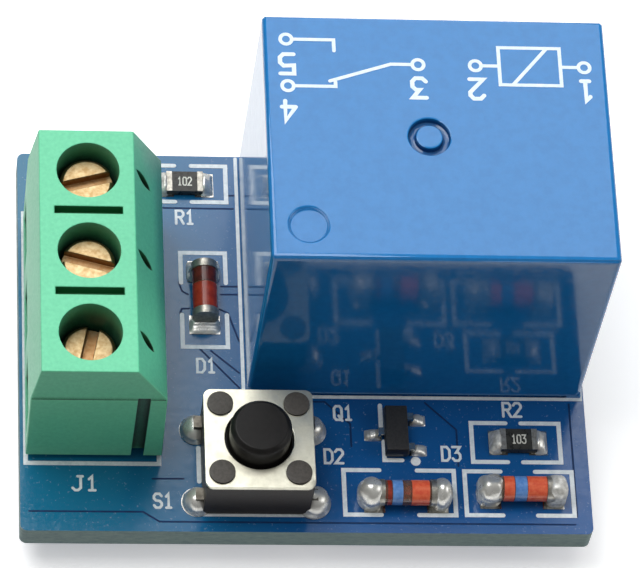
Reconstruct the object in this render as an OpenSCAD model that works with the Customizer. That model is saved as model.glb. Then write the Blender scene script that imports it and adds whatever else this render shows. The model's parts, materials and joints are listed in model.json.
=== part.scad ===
// Single-relay circuit module: board, three-way screw terminal block, cube relay, push button
// and surface-mounted parts. Millimetres, +X along the board, +Z up, leads stand on Z = 0.

/* [Board] */
// Gap between the terminal block and the relay
channel_w = 4.9; // [4.6:0.1:6]
// Depth of the strip in front of the relay
strip_w = 8.6; // [8.2:0.1:10]
// Thickness of the circuit board
board_t = 1.6; // [0.8:0.2:2.4]
// Radius of the board's corners
board_r = 0.4; // [0.1:0.1:1.2]
// Length of the leads below the board
lead_below = 2; // [1.4:0.1:3]
// Least gap between a lead's corner and its plated hole
hole_gap = 0.1; // [0.05:0.05:0.2]
// Thickness of the tinned copper pads
pad_t = 0.05; // [0.04:0.01:0.1]
// Rim of a pad around what stands on it
pad_rim = 0.12; // [0.05:0.01:0.2]
// Diameter of the pads round the switch's leads
ring_d = 1.8; // [1.6:0.1:2.6]
// Thickness of the plating in a hole
plating_t = 0.02; // [0.01:0.01:0.04]

/* [Solder joints] */
// Width of the solder around a lead's hole, on the underside
cone_rim = 0.45; // [0.2:0.05:0.6]
// Height of a solder cone on the underside
cone_h = 1.1; // [0.6:0.1:1.3]
// Height of a solder collar on the top side
collar_h = 0.3; // [0.1:0.05:0.5]
// Width of a solder collar around its hole
collar_rim = 0.3; // [0.1:0.05:0.4]
// Length of a solder fillet beyond an end cap
fillet_l = 0.5; // [0.2:0.05:0.7]
// Share of an end cap's height that its fillet climbs
fillet_rise = 0.7; // [0.4:0.05:0.9]
// Share of a diode's height that the solder climbs at its sides
joint_rise = 0.35; // [0.2:0.05:0.5]
// Thickness of the solder film below a diode
film_t = 0.03; // [0.02:0.01:0.06]

/* [Terminal block] */
// Spacing of the ways
pitch = 5.08; // [5:0.04:5.4]
// Depth of the housing at its foot
term_d = 7.6; // [7.4:0.1:8.4]
// Height of the housing
term_h = 10.1; // [9.6:0.1:12]
// Height of the shoulders where the slopes end
shoulder_h = 7; // [6.4:0.1:7.8]
// Width of the flat top
top_w = 5.25; // [4.4:0.05:5.4]
// Inset of the wire side's slope at the top
wire_slope = 0.45; // [0.1:0.05:0.8]
// Inset of the far side at the shoulder
back_slope = 0.15; // [0.1:0.05:0.6]
// Height of the feet that keep the housing off the board
foot_h = 0.4; // [0.2:0.1:0.8]
// Distance from the board's left edge to the housing
term_edge = 0.3; // [0.2:0.1:0.6]
// Distance from the wire side to the screws' axis
screw_in = 3.15; // [3:0.05:3.3]
// Bore above each screw
screw_hole_d = 3.45; // [3.4:0.05:3.7]
// Width of a wire entry
entry_w = 3.6; // [3:0.1:3.8]
// Height of a wire entry
entry_h = 3.1; // [2.6:0.1:3.4]
// Width of the marks between the screw holes
mark_w = 0.45; // [0.3:0.05:0.6]
// Length of the marks between the screw holes
mark_l = 3.75; // [3:0.05:4]
// Depth of the marks between the screw holes
mark_depth = 0.7; // [0.2:0.1:1]
// Width of the dovetail rib and groove at the housing's ends
dovetail_w = 0.65; // [0.5:0.05:0.9]
// Depth of the dovetail groove
dovetail_depth = 0.45; // [0.3:0.05:0.5]
// Clearance of the dovetail rib in the next block's groove
dovetail_gap = 0.1; // [0.05:0.05:0.15]
// Distance from the far side to the dovetail's middle
dovetail_in = 1.4; // [1.3:0.05:1.6]
// Step between the end's lower and upper faces
end_step = 0.08; // [0.04:0.02:0.2]
// Diameter of the housing's feet
foot_d = 1.1; // [0.8:0.1:1.2]
// Distance from a side wall to the feet's axis
foot_in = 0.8; // [0.7:0.05:1]
// Length of the test slots in the far slope
test_slot_l = 1.8; // [1:0.1:2]
// Width of the test slots at their middle
test_slot_w = 0.5; // [0.3:0.05:0.6]
// Depth of the test slots
test_slot_depth = 0.8; // [0.3:0.1:1]
// Distance from the flat top to the test slots, down the slope
test_slot_in = 0.3; // [0.2:0.05:0.5]
// Turn of the test slots, in degrees
test_slot_turn = -15; // [-30:5:30]

/* [Terminal cages, clamps and screws] */
// Clear width inside a cage
cage_in_w = 2.7; // [2.4:0.1:2.8]
// Clear height inside a cage
cage_in_h = 2.9; // [2.6:0.1:3]
// Length of a cage along the wire
cage_l = 3.4; // [3:0.1:3.6]
// Thickness of a cage's sides and floor
cage_wall = 0.5; // [0.4:0.05:0.55]
// Thickness of a cage's threaded top
cage_top = 1.2; // [0.8:0.1:1.3]
// Height of a cage's floor above the board
cage_lift = 0.8; // [0.7:0.1:1]
// Clearance between a cage and the housing
cage_gap = 0.1; // [0.05:0.05:0.15]
// Width of a cage's solder pin
term_pin_w = 1; // [0.8:0.1:1.2]
// Thickness of a cage's solder pin
term_pin_t = 0.8; // [0.6:0.1:1]
// Thickness of a wire clamp
clamp_t = 0.5; // [0.3:0.1:0.6]
// Running clearance around a wire clamp
clamp_gap = 0.1; // [0.05:0.05:0.15]
// Side of the grooves that grip the wire
groove = 0.12; // [0.06:0.02:0.18]
// Outer diameter of a screw's thread
thread_d = 2.4; // [2:0.1:2.5]
// Running clearance of the thread in the cage
thread_gap = 0.05; // [0.03:0.01:0.08]
// Diameter of a screw head
head_d = 3; // [2.8:0.05:3.2]
// Height of a screw head
head_h = 1.1; // [0.9:0.1:1.3]
// Width of a screw's slot
slot_w = 0.65; // [0.5:0.05:0.8]
// Depth of a screw's slot
slot_depth = 0.55; // [0.4:0.05:0.7]
// Bevel of a screw head's edge
head_edge = 0.2; // [0.1:0.05:0.3]
// Gap between a screw's tip and its clamp
tip_gap = 0.05; // [0.02:0.01:0.1]
// Free height left below a clamp or a head at full travel
travel_left = 0.2; // [0.1:0.05:0.3]
// How far the third screw is already turned in
third_drop = 0.7; // [0:0.1:1.5]

/* [Relay case] */
// Length of the relay
relay_l = 19; // [18.8:0.1:20]
// Width of the relay
relay_w = 15.4; // [15.2:0.1:16]
// Height of the relay's case
relay_h = 15.4; // [15:0.1:17]
// Height of the relay's feet
relay_lift = 0.25; // [0.1:0.05:0.4]
// Thickness of the case's walls
case_wall = 0.8; // [0.6:0.05:0.9]
// Radius of the case's edges
case_r = 0.35; // [0.1:0.05:0.5]
// Distance from the board's edges to the relay
relay_edge = 0.2; // [0.1:0.05:0.6]
// Diameter of the vent's recess in the top
vent_d = 2.3; // [1.8:0.1:2.6]
// Diameter of the vent's nub
nub_d = 1.5; // [1:0.1:1.6]
// Diameter of the moulding gate's round recess
gate_d = 2.15; // [1.6:0.05:2.4]
// Depth of the recesses in the top
recess_depth = 0.4; // [0.1:0.05:0.6]
// Distance of the vent from the middle of the top
vent_shift = 0.6; // [0:0.1:1]
// Distance from the case's walls to the gate's recess
gate_in = 2.1; // [1.8:0.1:2.6]
// Clearance between the base plate and the case
base_gap = 0.05; // [0.03:0.01:0.1]
// Thickness of the base plate
base_t = 1.2; // [0.8:0.1:1.4]
// Thickness of the sealing resin below the base plate
resin_t = 0.4; // [0.2:0.1:0.6]
// Depth of the resin's face above the case's rim
resin_recess = 0.5; // [0.3:0.05:0.6]

/* [Relay movement] */
// Thickness of the yoke
yoke_t = 1.2; // [1:0.1:1.4]
// Width of the yoke and the armature
yoke_w = 8; // [7:0.2:9]
// Gap from the yoke to the case and to the coil
yoke_gap = 0.3; // [0.2:0.05:0.4]
// Diameter of the iron core
core_d = 4; // [3.4:0.1:4.2]
// Diameter of the core's pole face
pole_d = 6.4; // [5.6:0.1:7]
// Thickness of the pole face
pole_t = 0.7; // [0.5:0.1:0.9]
// Outer diameter of the coil winding
coil_d = 8.6; // [8:0.1:8.8]
// Room between the break terminal and the case's roof
roof_gap = 0.84; // [0.4:0.02:1.2]
// Wall of the bobbin's tube
bobbin_wall = 0.5; // [0.4:0.05:0.6]
// Thickness of the bobbin's flanges
flange_t = 0.7; // [0.5:0.1:0.8]
// Thickness of the armature
armature_t = 1; // [0.8:0.05:1.1]
// Length of the armature from its hinge edge
armature_l = 9.8; // [9:0.1:10.2]
// Tilt of the armature when the coil is off, in degrees
open_angle = 2.4; // [1.8:0.1:2.8]
// Rim of a terminal's arm around its contact
arm_rim = 0.1; // [0.05:0.05:0.2]
// Thickness of the contact leaf
leaf_t = 0.15; // [0.1:0.05:0.2]
// Width of the contact leaf
leaf_w = 3; // [2:0.2:4]
// Diameter of the contacts
contact_d = 1.8; // [1.4:0.1:2]
// Height of the contacts
contact_h = 0.3; // [0.2:0.05:0.35]
// Diameter of the rivets in the leaf
rivet_d = 0.8; // [0.6:0.05:0.9]
// Distance from the contact pins to the contacts' axis
contact_run = 2.4; // [2.2:0.1:2.6]
// Gap between the moving contact and a contact that it touches
contact_gap = 0.02; // [0.01:0.01:0.03]
// Thickness of the relay's terminals
relay_pin_t = 0.4; // [0.3:0.05:0.5]
// Width of the relay's terminals
relay_pin_w = 1; // [0.8:0.1:1.2]
// Width of the coil's pins
coil_pin_w = 0.6; // [0.5:0.05:0.7]
// Width of the base plate beside a contact pin
pin_side = 0.35; // [0.2:0.05:0.6]
// Distance from the relay's left wall to the contact pins
pin_in = 2.3; // [2.2:0.1:2.6]
// Distance from the relay's right wall to the common pin
common_in = 2.5; // [2.4:0.1:2.8]
// Distance between the coil's pins and the common pin
common_run = 2; // [1.9:0.1:2.1]

/* [Push button] */
// Side of the square switch
switch_w = 6.1; // [6:0.1:6.3]
// Height of the switch to its cover's top
switch_h = 3.5; // [3.3:0.1:3.9]
// Height of the pressed end above the cover
button_h = 1.5; // [1:0.1:3]
// Gap between the plunger and the cover's hole
button_clear = 0.22; // [0.1:0.02:0.3]
// Web of the cover between its hole and a post
cover_web = 0.37; // [0.3:0.01:0.5]
// Thickness of the steel cover
cover_t = 0.3; // [0.2:0.05:0.35]
// Radius of the cover's corners
cover_r = 0.45; // [0.2:0.05:0.6]
// Distance from the cover's edge to a post's axis
post_in = 0.93; // [0.85:0.01:1]
// Diameter of the posts
post_d = 1.4; // [1.1:0.05:1.45]
// Height of the posts above the cover
post_h = 0.12; // [0.05:0.01:0.3]
// Height of the base above the board
switch_foot = 0.1; // [0.06:0.01:0.15]
// Overhang of the cover beyond the base
cover_lip = 0.08; // [0.04:0.01:0.12]
// Running clearance of the plunger's flange below the cover
button_gap = 0.05; // [0.03:0.01:0.08]
// Rim of the plunger's flange that the cover holds
flange_rim = 0.22; // [0.15:0.01:0.25]
// Thickness of the plunger's flange
flange_t_button = 0.5; // [0.4:0.05:0.6]
// Diameter of the stem that presses the dome
stem_d = 1.2; // [1:0.1:1.6]
// Length of the stem that presses the dome
stem_h = 0.25; // [0.2:0.01:0.3]
// Bevel of the plunger's pressed end
button_edge = 0.3; // [0.1:0.05:0.4]
// Travel of the plunger
button_travel = 0.25; // [0.15:0.05:0.35]
// Thickness of the snap dome
dome_t = 0.1; // [0.08:0.01:0.15]
// Room left below the dome when it is pressed
dome_left = 0.05; // [0.02:0.01:0.1]
// Gap between a leg and the cover's edge
leg_gap = 0.05; // [0.02:0.01:0.2]
// Spacing of the legs along the switch
leg_pitch = 4.5; // [4.3:0.1:4.7]
// Width of a leg
leg_w = 0.7; // [0.6:0.05:0.8]
// Thickness of a leg
leg_t = 0.3; // [0.2:0.05:0.35]
// Height of the legs' strips above the board
leg_rise = 0.8; // [0.6:0.05:1]

/* [Surface-mounted parts] */
// Length of a chip resistor
chip_l = 2.1; // [2:0.05:2.2]
// Width of a chip resistor
chip_w = 1.3; // [1.2:0.05:1.4]
// Height of a chip resistor
chip_h = 0.5; // [0.4:0.05:0.65]
// Length of a chip resistor's end caps
chip_cap = 0.32; // [0.25:0.01:0.4]
// Thickness of a chip resistor's end caps
chip_plate = 0.03; // [0.02:0.01:0.04]
// Length of a diode
diode_l = 3.5; // [3.3:0.05:3.7]
// Diameter of a diode's end caps
diode_d = 1.5; // [1.4:0.05:1.6]
// Diameter of a diode's glass
glass_d = 1.4; // [1.3:0.05:1.5]
// Bore of a diode's glass
glass_bore = 0.9; // [0.7:0.05:1]
// Length of a diode's end caps
diode_cap = 0.45; // [0.35:0.05:0.55]
// Thickness of a diode's chip
die_t = 0.25; // [0.15:0.05:0.35]
// Side of a diode's chip
die_w = 0.5; // [0.4:0.05:0.6]
// Length of the transistor's body
trans_l = 2.9; // [2.8:0.05:3.1]
// Width of the transistor's body
trans_w = 1.35; // [1.2:0.05:1.5]
// Height of the transistor
trans_h = 1; // [0.9:0.05:1.2]
// Height of the transistor's body above the pads
trans_lift = 0.1; // [0.05:0.01:0.15]
// Span across the transistor's leads
trans_span = 2.5; // [2.4:0.05:2.8]
// Spacing of the transistor's two near leads
trans_pitch = 1.9; // [1.8:0.05:2]
// Width of a transistor's lead
trans_lead_w = 0.42; // [0.35:0.01:0.5]
// Thickness of a transistor's lead
trans_lead_t = 0.12; // [0.1:0.01:0.15]
// Length of a lead's foot
foot_l = 0.35; // [0.3:0.01:0.4]
// Draft of the transistor's sides, in degrees
trans_draft = 8; // [3:1:12]

/* [Places on the board] */
// Switch's centre from the board's front edge
switch_y = 4.05; // [4:0.05:4.3]
// Switch's centre from the relay's left wall
switch_x = 0.27; // [0.1:0.01:0.5]
// First resistor's centre from the board's back edge
res1_y = 2; // [1.4:0.1:2.6]
// First resistor's centre from the relay's left wall
res1_x = 3.18; // [3:0.02:3.4]
// Second resistor's centre from the board's front edge
res2_y = 5.68; // [5.5:0.02:6]
// Room at the right of the front row
row_edge = 0.5; // [0.3:0.1:1]
// Upright diode's centre from the relay's left wall
dio1_x = 2.25; // [2.1:0.05:2.5]
// Upright diode's centre from the board's back edge
dio1_y = 9.4; // [8.4:0.1:10.4]
// Middle diode's centre from the board's front edge
dio2_y = 2.1; // [1.9:0.05:2.4]
// Middle diode's centre from the switch's centre
dio2_x = 8.43; // [8.2:0.01:8.8]
// Right diode's centre from the board's front edge
dio3_y = 2.4; // [2.1:0.05:2.7]
// Right diode's centre from the middle one's
dio3_x = 6.55; // [6.2:0.05:7]
// Transistor's centre from the relay's front wall
trans_y = 2.52; // [2.1:0.02:2.7]
// Transistor's centre from the switch's centre
trans_x = 8.03; // [7.6:0.01:8.4]

/* [Hidden] */
fine = 48;
cut = 1;                // overrun of a cutting solid past the face that it opens

// Board, as long as the longer of its two rows
row_l = switch_x + dio2_x + dio3_x + diode_l / 2 + fillet_l + row_edge;
board_l = term_edge + term_d + channel_w + max(relay_l + relay_edge, row_l);
board_w = strip_w + relay_w + relay_edge;
top = lead_below + board_t;

// Terminal block
ways = 3;
term_x = -board_l / 2 + term_edge;
term_l = ways * pitch;
back_x = term_d - back_slope;
screw_x = term_x + screw_in;
way_y = [for (i = [1 : -1 : -1]) i * pitch];
cage_x = screw_x - cage_l / 2;
cage_w = cage_in_w + 2 * cage_wall;
cage_z = top + cage_lift;
cage_in_z = cage_z + cage_wall;
cage_ceiling = cage_in_z + cage_in_h;
cage_top_z = cage_ceiling + cage_top;
clamp_z = cage_ceiling - clamp_gap - clamp_t;
travel = clamp_z - cage_in_z - travel_left;
head_z = cage_top_z + travel + travel_left;
screw_drop = [0, 0, third_drop];
slot_angle = [15, -15, 78];

// Relay
relay_x = term_x + term_d + channel_w;
relay_y = board_w / 2 - relay_edge - relay_w;
relay_cy = relay_y + relay_w / 2;
relay_z = top + relay_lift;
resin_z = relay_z + resin_recess;
base_z = resin_z + resin_t;
inside_z = base_z + base_t;
contact_x = relay_x + pin_in;
common_x = relay_x + relay_l - common_in;
coil_pin_x = common_x - common_run;
pin_pair = relay_w - 2 * (case_wall + base_gap + pin_side) - relay_pin_w;
yoke_back = relay_x + relay_l - case_wall - yoke_gap;
yoke_x = yoke_back - yoke_t;
coil_x = yoke_x - yoke_gap - coil_d / 2;
moving_x = contact_x + contact_run;
arm_w = contact_d + 2 * arm_rim;
rise = (yoke_back - moving_x + contact_d / 2) * sin(open_angle);
contact_stack = leaf_t + contact_h + rise + contact_gap;
bobbin_z = inside_z + yoke_t;
winding_z = bobbin_z + flange_t;
break_z = relay_z + relay_h - case_wall - roof_gap - relay_pin_t - contact_h;
armature_top = break_z - contact_stack;
pole_top = armature_top - armature_t;
pole_z = pole_top - pole_t;
coil_h = pole_z - flange_t - winding_z;
make_z = armature_top - contact_h - contact_gap;

// Push button
switch_cx = relay_x + switch_x;
switch_cy = -board_w / 2 + switch_y;
cover_z = top + switch_h - cover_t;
post_pitch = switch_w - 2 * post_in;
cover_hole_d = post_pitch * sqrt(2) - post_d - 2 * cover_web;
button_d = cover_hole_d - 2 * button_clear;
leg_span = switch_w + leg_t + 2 * leg_gap;
flange_d = cover_hole_d + 2 * flange_rim;
well_d = flange_d + 4 * button_gap;
flange_z = cover_z - button_gap - flange_t_button;
dome_top = flange_z - stem_h;
well_z = dome_top - dome_t - button_travel - dome_left;
leg_z = top + leg_rise;

// Surface-mounted parts: [x, y, turn]
pad_z = top + pad_t;
resistor_1 = [relay_x - res1_x, board_w / 2 - res1_y, 0];
diode_1 = [relay_x - dio1_x, board_w / 2 - dio1_y, 90];
diode_2 = [switch_cx + dio2_x, -board_w / 2 + dio2_y, 0];
diode_3 = [diode_2[0] + dio3_x, -board_w / 2 + dio3_y, 0];
resistor_2 = [diode_3[0], -board_w / 2 + res2_y, 0];
transistor = [switch_cx + trans_x, relay_y - trans_y, 0];

// Leads through the board: [x, y, size along X, size along Y]
term_leads = [for (y = way_y) [screw_x, y, term_pin_t, term_pin_w]];
contact_leads = [for (s = [-1, 1]) [contact_x, relay_cy + s * pin_pair / 2, relay_pin_t, relay_pin_w]];
coil_leads = [for (s = [-1, 1]) [coil_pin_x, relay_cy + s * pin_pair / 2, coil_pin_w, coil_pin_w]];
common_lead = [common_x, relay_cy, relay_pin_t, relay_pin_w];
relay_leads = concat(contact_leads, coil_leads, [common_lead]);
switch_leads = [for (sx = [-1, 1], sy = [-1, 1])
    [switch_cx + sx * leg_span / 2, switch_cy + sy * leg_pitch / 2, leg_t, leg_w]];
leads = concat(term_leads, relay_leads, switch_leads);

function half_diagonal(lead) = sqrt(lead[2] * lead[2] + lead[3] * lead[3]) / 2;
function hole_r(lead) = half_diagonal(lead) + hole_gap;

// Square and circles that make a rectangle with round corners
module rounded_square(l, w, r) {
    translate([r, 0]) square([l - 2 * r, w]);
    translate([0, r]) square([l, w - 2 * r]);
    for (x = [r, l - r], y = [r, w - r]) translate([x, y]) circle(r = r, $fn = fine);
}

// Upright bar on a lead's own section
module lead_bar(lead, z0, z1) {
    translate([lead[0] - lead[2] / 2, lead[1] - lead[3] / 2, z0]) cube([lead[2], lead[3], z1 - z0]);
}

module at(place) {
    translate([place[0], place[1], pad_z]) rotate([0, 0, place[2]]) children();
}

module both_ends() {
    for (turn = [0, 180]) rotate([0, 0, turn]) children();
}

// Disc with a bore, its lower face at the origin
module ring(outer_d, bore_d, h) {
    difference() {
        cylinder(d = outer_d, h = h, $fn = fine);
        translate([0, 0, -cut]) cylinder(d = bore_d, h = h + 2 * cut, $fn = fine);
    }
}

// Glass-fibre board with a drilled hole for each lead
module pcb() {
    color("royalblue") difference() {
        translate([-board_l / 2, -board_w / 2, lead_below])
            linear_extrude(height = board_t) rounded_square(board_l, board_w, board_r);
        for (p = leads) translate([p[0], p[1], lead_below - cut])
            cylinder(r = hole_r(p), h = board_t + 2 * cut, $fn = fine);
    }
}

// Tinned copper: pads of the surface-mounted parts and rings round the switch's leads
module solder_pads() {
    color("silver") {
        for (r = [resistor_1, resistor_2]) at(r) both_ends()
            pad(chip_l / 2 - chip_cap, chip_l / 2 + fillet_l, chip_w);
        for (d = [diode_1, diode_2, diode_3]) at(d) both_ends()
            pad(diode_l / 2 - diode_cap, diode_l / 2 + fillet_l, diode_d);
        at(transistor) transistor_feet() pad(trans_span / 2 - foot_l, trans_span / 2, trans_lead_w);
        for (p = switch_leads) translate([p[0], p[1], top]) ring(ring_d, 2 * hole_r(p), pad_t);
    }
}

// Pad below an end that reaches from x0 to x1
module pad(x0, x1, w) {
    translate([x0 - pad_rim, -w / 2 - pad_rim, -pad_t]) cube([x1 - x0 + 2 * pad_rim, w + 2 * pad_rim, pad_t]);
}

// Solder of the surface-mounted parts
module chip_solder() {
    color("gainsboro") {
        for (r = [resistor_1, resistor_2]) at(r) both_ends() fillet(chip_l / 2, chip_h * fillet_rise, chip_w);
        for (d = [diode_1, diode_2, diode_3]) at(d) both_ends() diode_joint();
        at(transistor) transistor_feet() fillet(trans_span / 2, trans_lead_t, trans_lead_w, pad_rim);
    }
}

// Concave wedge against an end face at x
module fillet(x, h, w, l = fillet_l) {
    translate([x, w / 2, 0]) rotate([90, 0, 0]) linear_extrude(height = w)
        polygon([[0, 0], [l, 0], [l / 2, h / 4], [l / 4, h / 2], [0, h]]);
}

// Solder that holds a round end cap at both sides and at its face
module diode_joint() {
    fillet(diode_l / 2, diode_d * fillet_rise, diode_d);
    difference() {
        translate([diode_l / 2 - diode_cap, -diode_d / 2, 0]) cube([diode_cap, diode_d, diode_d * joint_rise]);
        translate([0, 0, film_t + diode_d / 2]) rotate([0, 90, 0])
            cylinder(d = diode_d, h = diode_l, $fn = fine);
    }
}

// Solder in each plated hole, with its cone on the underside
module hole_solder() {
    color("gainsboro") for (p = leads) difference() {
        translate([p[0], p[1], 0]) rotate_extrude($fn = fine) {
            polygon([[0, lead_below - cone_h], [half_diagonal(p) + plating_t, lead_below - cone_h],
                     [hole_r(p), lead_below - cone_h / 2], [hole_r(p) + cone_rim, lead_below],
                     [0, lead_below]]);
            translate([0, lead_below]) square([hole_r(p) - plating_t, board_t]);
        }
        lead_bar(p, 0, top + cut);
    }
}

// Solder collars on the top side, beside the switch
module switch_solder() {
    color("gainsboro") difference() {
        for (p = switch_leads) translate([p[0], p[1], top + pad_t]) rotate_extrude($fn = fine)
            polygon([[0, 0], [hole_r(p) + collar_rim, 0], [hole_r(p), collar_h / 2],
                     [half_diagonal(p) + plating_t, collar_h], [0, collar_h]]);
        for (p = switch_leads) lead_bar(p, 0, top + switch_h);
        translate([switch_cx - (leg_span - leg_t) / 2, switch_cy - switch_w / 2, top])
            cube([leg_span - leg_t, switch_w, switch_h]);
    }
}

// Outline of the housing's end, seen along Y
module housing_outline() {
    polygon([[0, foot_h], [0, shoulder_h], [wire_slope, term_h], [wire_slope + top_w, term_h],
             [back_x, shoulder_h], [term_d, foot_h]]);
}

// Dovetail section that widens away from the housing's end
module dovetail(w, depth) {
    polygon([[-w / 2, 0], [w / 2, 0], [w / 2 + depth / 4, depth], [-w / 2 - depth / 4, depth]]);
}

// Oval with pointed ends, between two equal arcs
module pointed_oval(l, w) {
    arc_r = (l * l + w * w) / (4 * w);
    intersection() {
        translate([0, arc_r - w / 2]) circle(r = arc_r, $fn = fine);
        translate([0, w / 2 - arc_r]) circle(r = arc_r, $fn = fine);
    }
}

module terminal_housing() {
    color("mediumseagreen") difference() {
        union() {
            translate([term_x, term_l / 2, top]) rotate([90, 0, 0])
                linear_extrude(height = term_l) housing_outline();
            translate([term_x + term_d - dovetail_in, term_l / 2, top + foot_h])
                linear_extrude(height = shoulder_h - foot_h)
                    dovetail(dovetail_w - 2 * dovetail_gap, dovetail_depth - dovetail_gap);
            for (x = [foot_in, term_d - foot_in], y = [-pitch / 2, pitch / 2])
                translate([term_x + x, y, top]) cylinder(d = foot_d, h = foot_h + cut, $fn = fine);
        }
        translate([term_x + term_d - dovetail_in, -term_l / 2, top])
            linear_extrude(height = shoulder_h) dovetail(dovetail_w, dovetail_depth);
        translate([term_x - cut, -term_l / 2 - cut, top + shoulder_h])
            cube([term_d + 2 * cut, cut + end_step, term_h]);
        for (y = way_y) {
            translate([cage_x - cage_gap, y - cage_w / 2 - cage_gap, top - cut])
                cube([cage_l + 2 * cage_gap, cage_w + 2 * cage_gap, cage_top_z - top + cut]);
            translate([screw_x, y, cage_top_z - cut]) cylinder(d = screw_hole_d, h = term_h, $fn = fine);
            translate([term_x - cut, y - entry_w / 2, cage_in_z])
                cube([cage_x - term_x + cut, entry_w, min(entry_h, cage_in_h)]);
            translate([term_x + wire_slope + top_w, y, top + term_h])
                rotate([0, 90 - atan2(back_x - wire_slope - top_w, term_h - shoulder_h), 0])
                    translate([test_slot_in + test_slot_l / 2, 0, -test_slot_depth])
                        rotate([0, 0, test_slot_turn]) linear_extrude(height = test_slot_depth + cut)
                            pointed_oval(test_slot_l, test_slot_w);
        }
        for (y = [-pitch / 2, pitch / 2])
            translate([screw_x - mark_l / 2, y - mark_w / 2, top + term_h - mark_depth])
                cube([mark_l, mark_w, mark_depth + cut]);
    }
}

// Metal frame that takes the wire, with a threaded top and a solder pin
module terminal_cage(i) {
    color("lightsteelblue") difference() {
        union() {
            translate([cage_x, way_y[i] - cage_w / 2, cage_z])
                cube([cage_l, cage_w, cage_top_z - cage_z]);
            lead_bar(term_leads[i], 0, cage_z);
        }
        translate([cage_x - cut, way_y[i] - cage_in_w / 2, cage_in_z])
            cube([cage_l + 2 * cut, cage_in_w, cage_in_h]);
        translate([screw_x, way_y[i], cage_ceiling - cut])
            cylinder(d = thread_d + 2 * thread_gap, h = cage_top + 2 * cut, $fn = fine);
    }
}

// Plate below the screw's tip that presses on the wire
module wire_clamp(i) {
    w = cage_in_w - 2 * clamp_gap;
    l = cage_l - 2 * clamp_gap;
    color("tan") translate([screw_x - l / 2, way_y[i] - w / 2, clamp_z - screw_drop[i]]) difference() {
        cube([l, w, clamp_t]);
        for (x = [l / 4, l / 2, 3 * l / 4]) translate([x, -cut, 0]) rotate([0, 45, 0])
            cube([groove, w + 2 * cut, groove]);
    }
}

module terminal_screw(i) {
    under = head_z - screw_drop[i];
    color("goldenrod") difference() {
        translate([screw_x, way_y[i], 0]) rotate_extrude($fn = fine)
            polygon([[0, clamp_z + clamp_t + tip_gap - screw_drop[i]],
                     [thread_d / 2, clamp_z + clamp_t + tip_gap - screw_drop[i]],
                     [thread_d / 2, under], [head_d / 2, under],
                     [head_d / 2, under + head_h - head_edge],
                     [head_d / 2 - head_edge, under + head_h], [0, under + head_h]]);
        translate([screw_x, way_y[i], under + head_h - slot_depth + cut]) rotate([0, 0, slot_angle[i]])
            cube([head_d + cut, slot_w, 2 * cut], center = true);
    }
}

// Box with its upright edges and its top edges rounded, at the relay's corner
module case_block() {
    intersection() {
        translate([relay_x, relay_y, relay_z]) linear_extrude(height = relay_h)
            rounded_square(relay_l, relay_w, case_r);
        translate([relay_x, relay_y + relay_w + cut, relay_z - relay_h]) rotate([90, 0, 0])
            linear_extrude(height = relay_w + 2 * cut) rounded_square(relay_l, 2 * relay_h, case_r);
        translate([relay_x - cut, relay_y, relay_z - relay_h]) rotate([90, 0, 90])
            linear_extrude(height = relay_l + 2 * cut) rounded_square(relay_w, 2 * relay_h, case_r);
    }
}

module relay_case() {
    roof = relay_z + relay_h;
    color("dodgerblue") {
        difference() {
            case_block();
            translate([relay_x + case_wall, relay_y + case_wall, relay_z - cut])
                cube([relay_l - 2 * case_wall, relay_w - 2 * case_wall, relay_h - case_wall + cut]);
            translate([relay_x + relay_l / 2 - vent_shift, relay_cy, roof - recess_depth])
                ring(vent_d, nub_d, recess_depth + cut);
            translate([relay_x + gate_in, relay_y + gate_in, roof - recess_depth / 2])
                cylinder(d = gate_d, h = cut, $fn = fine);
        }
        for (x = [relay_x, relay_x + relay_l - case_wall], y = [relay_y, relay_y + relay_w - case_wall])
            translate([x, y, top]) cube([case_wall, case_wall, relay_lift]);
    }
}

// Plate that fills the case's open underside, with a slot for each lead
module case_plate(z, t) {
    difference() {
        translate([relay_x + case_wall + base_gap, relay_y + case_wall + base_gap, z])
            cube([relay_l - 2 * (case_wall + base_gap), relay_w - 2 * (case_wall + base_gap), t]);
        for (p = relay_leads) lead_bar(p, z - cut, z + t + cut);
    }
}

module relay_base() {
    color("steelblue") case_plate(base_z, base_t);
}

module relay_resin() {
    color("dimgray") case_plate(resin_z, resin_t);
}

module relay_bobbin() {
    tube_d = core_d + 2 * bobbin_wall;
    flange_w = pin_pair + coil_pin_w + 2 * bobbin_wall;
    color("whitesmoke") difference() {
        union() {
            translate([coil_x - coil_d / 2, relay_cy - flange_w / 2, bobbin_z])
                cube([coil_d, flange_w, flange_t]);
            translate([coil_x, relay_cy, winding_z])
                cylinder(d = tube_d, h = coil_h + flange_t, $fn = fine);
            translate([coil_x, relay_cy, winding_z + coil_h]) cylinder(d = coil_d, h = flange_t, $fn = fine);
        }
        translate([coil_x, relay_cy, bobbin_z - cut])
            cylinder(d = core_d + 2 * base_gap, h = pole_z - bobbin_z + 2 * cut, $fn = fine);
        for (p = coil_leads) lead_bar(p, bobbin_z - cut, winding_z + cut);
    }
}

module relay_coil() {
    color("orangered") translate([coil_x, relay_cy, winding_z])
        ring(coil_d - bobbin_wall, core_d + 2 * bobbin_wall, coil_h);
}

module relay_core() {
    color("lightgray") translate([coil_x, relay_cy, 0]) {
        translate([0, 0, bobbin_z]) cylinder(d = core_d, h = pole_top - bobbin_z, $fn = fine);
        translate([0, 0, pole_z]) cylinder(d = pole_d, h = pole_t, $fn = fine);
    }
}

// Angle of soft iron below the coil and up its far side
module relay_yoke() {
    color("silver") {
        translate([coil_x - core_d / 2, relay_cy - yoke_w / 2, inside_z])
            cube([yoke_back - coil_x + core_d / 2, yoke_w, yoke_t]);
        translate([yoke_x, relay_cy - yoke_w / 2, inside_z]) cube([yoke_t, yoke_w, pole_top - inside_z]);
    }
}

// Tilts what lies on the armature about the yoke's upper edge
module tilted() {
    translate([yoke_back, relay_cy, pole_top]) rotate([0, open_angle, 0]) children();
}

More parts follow.
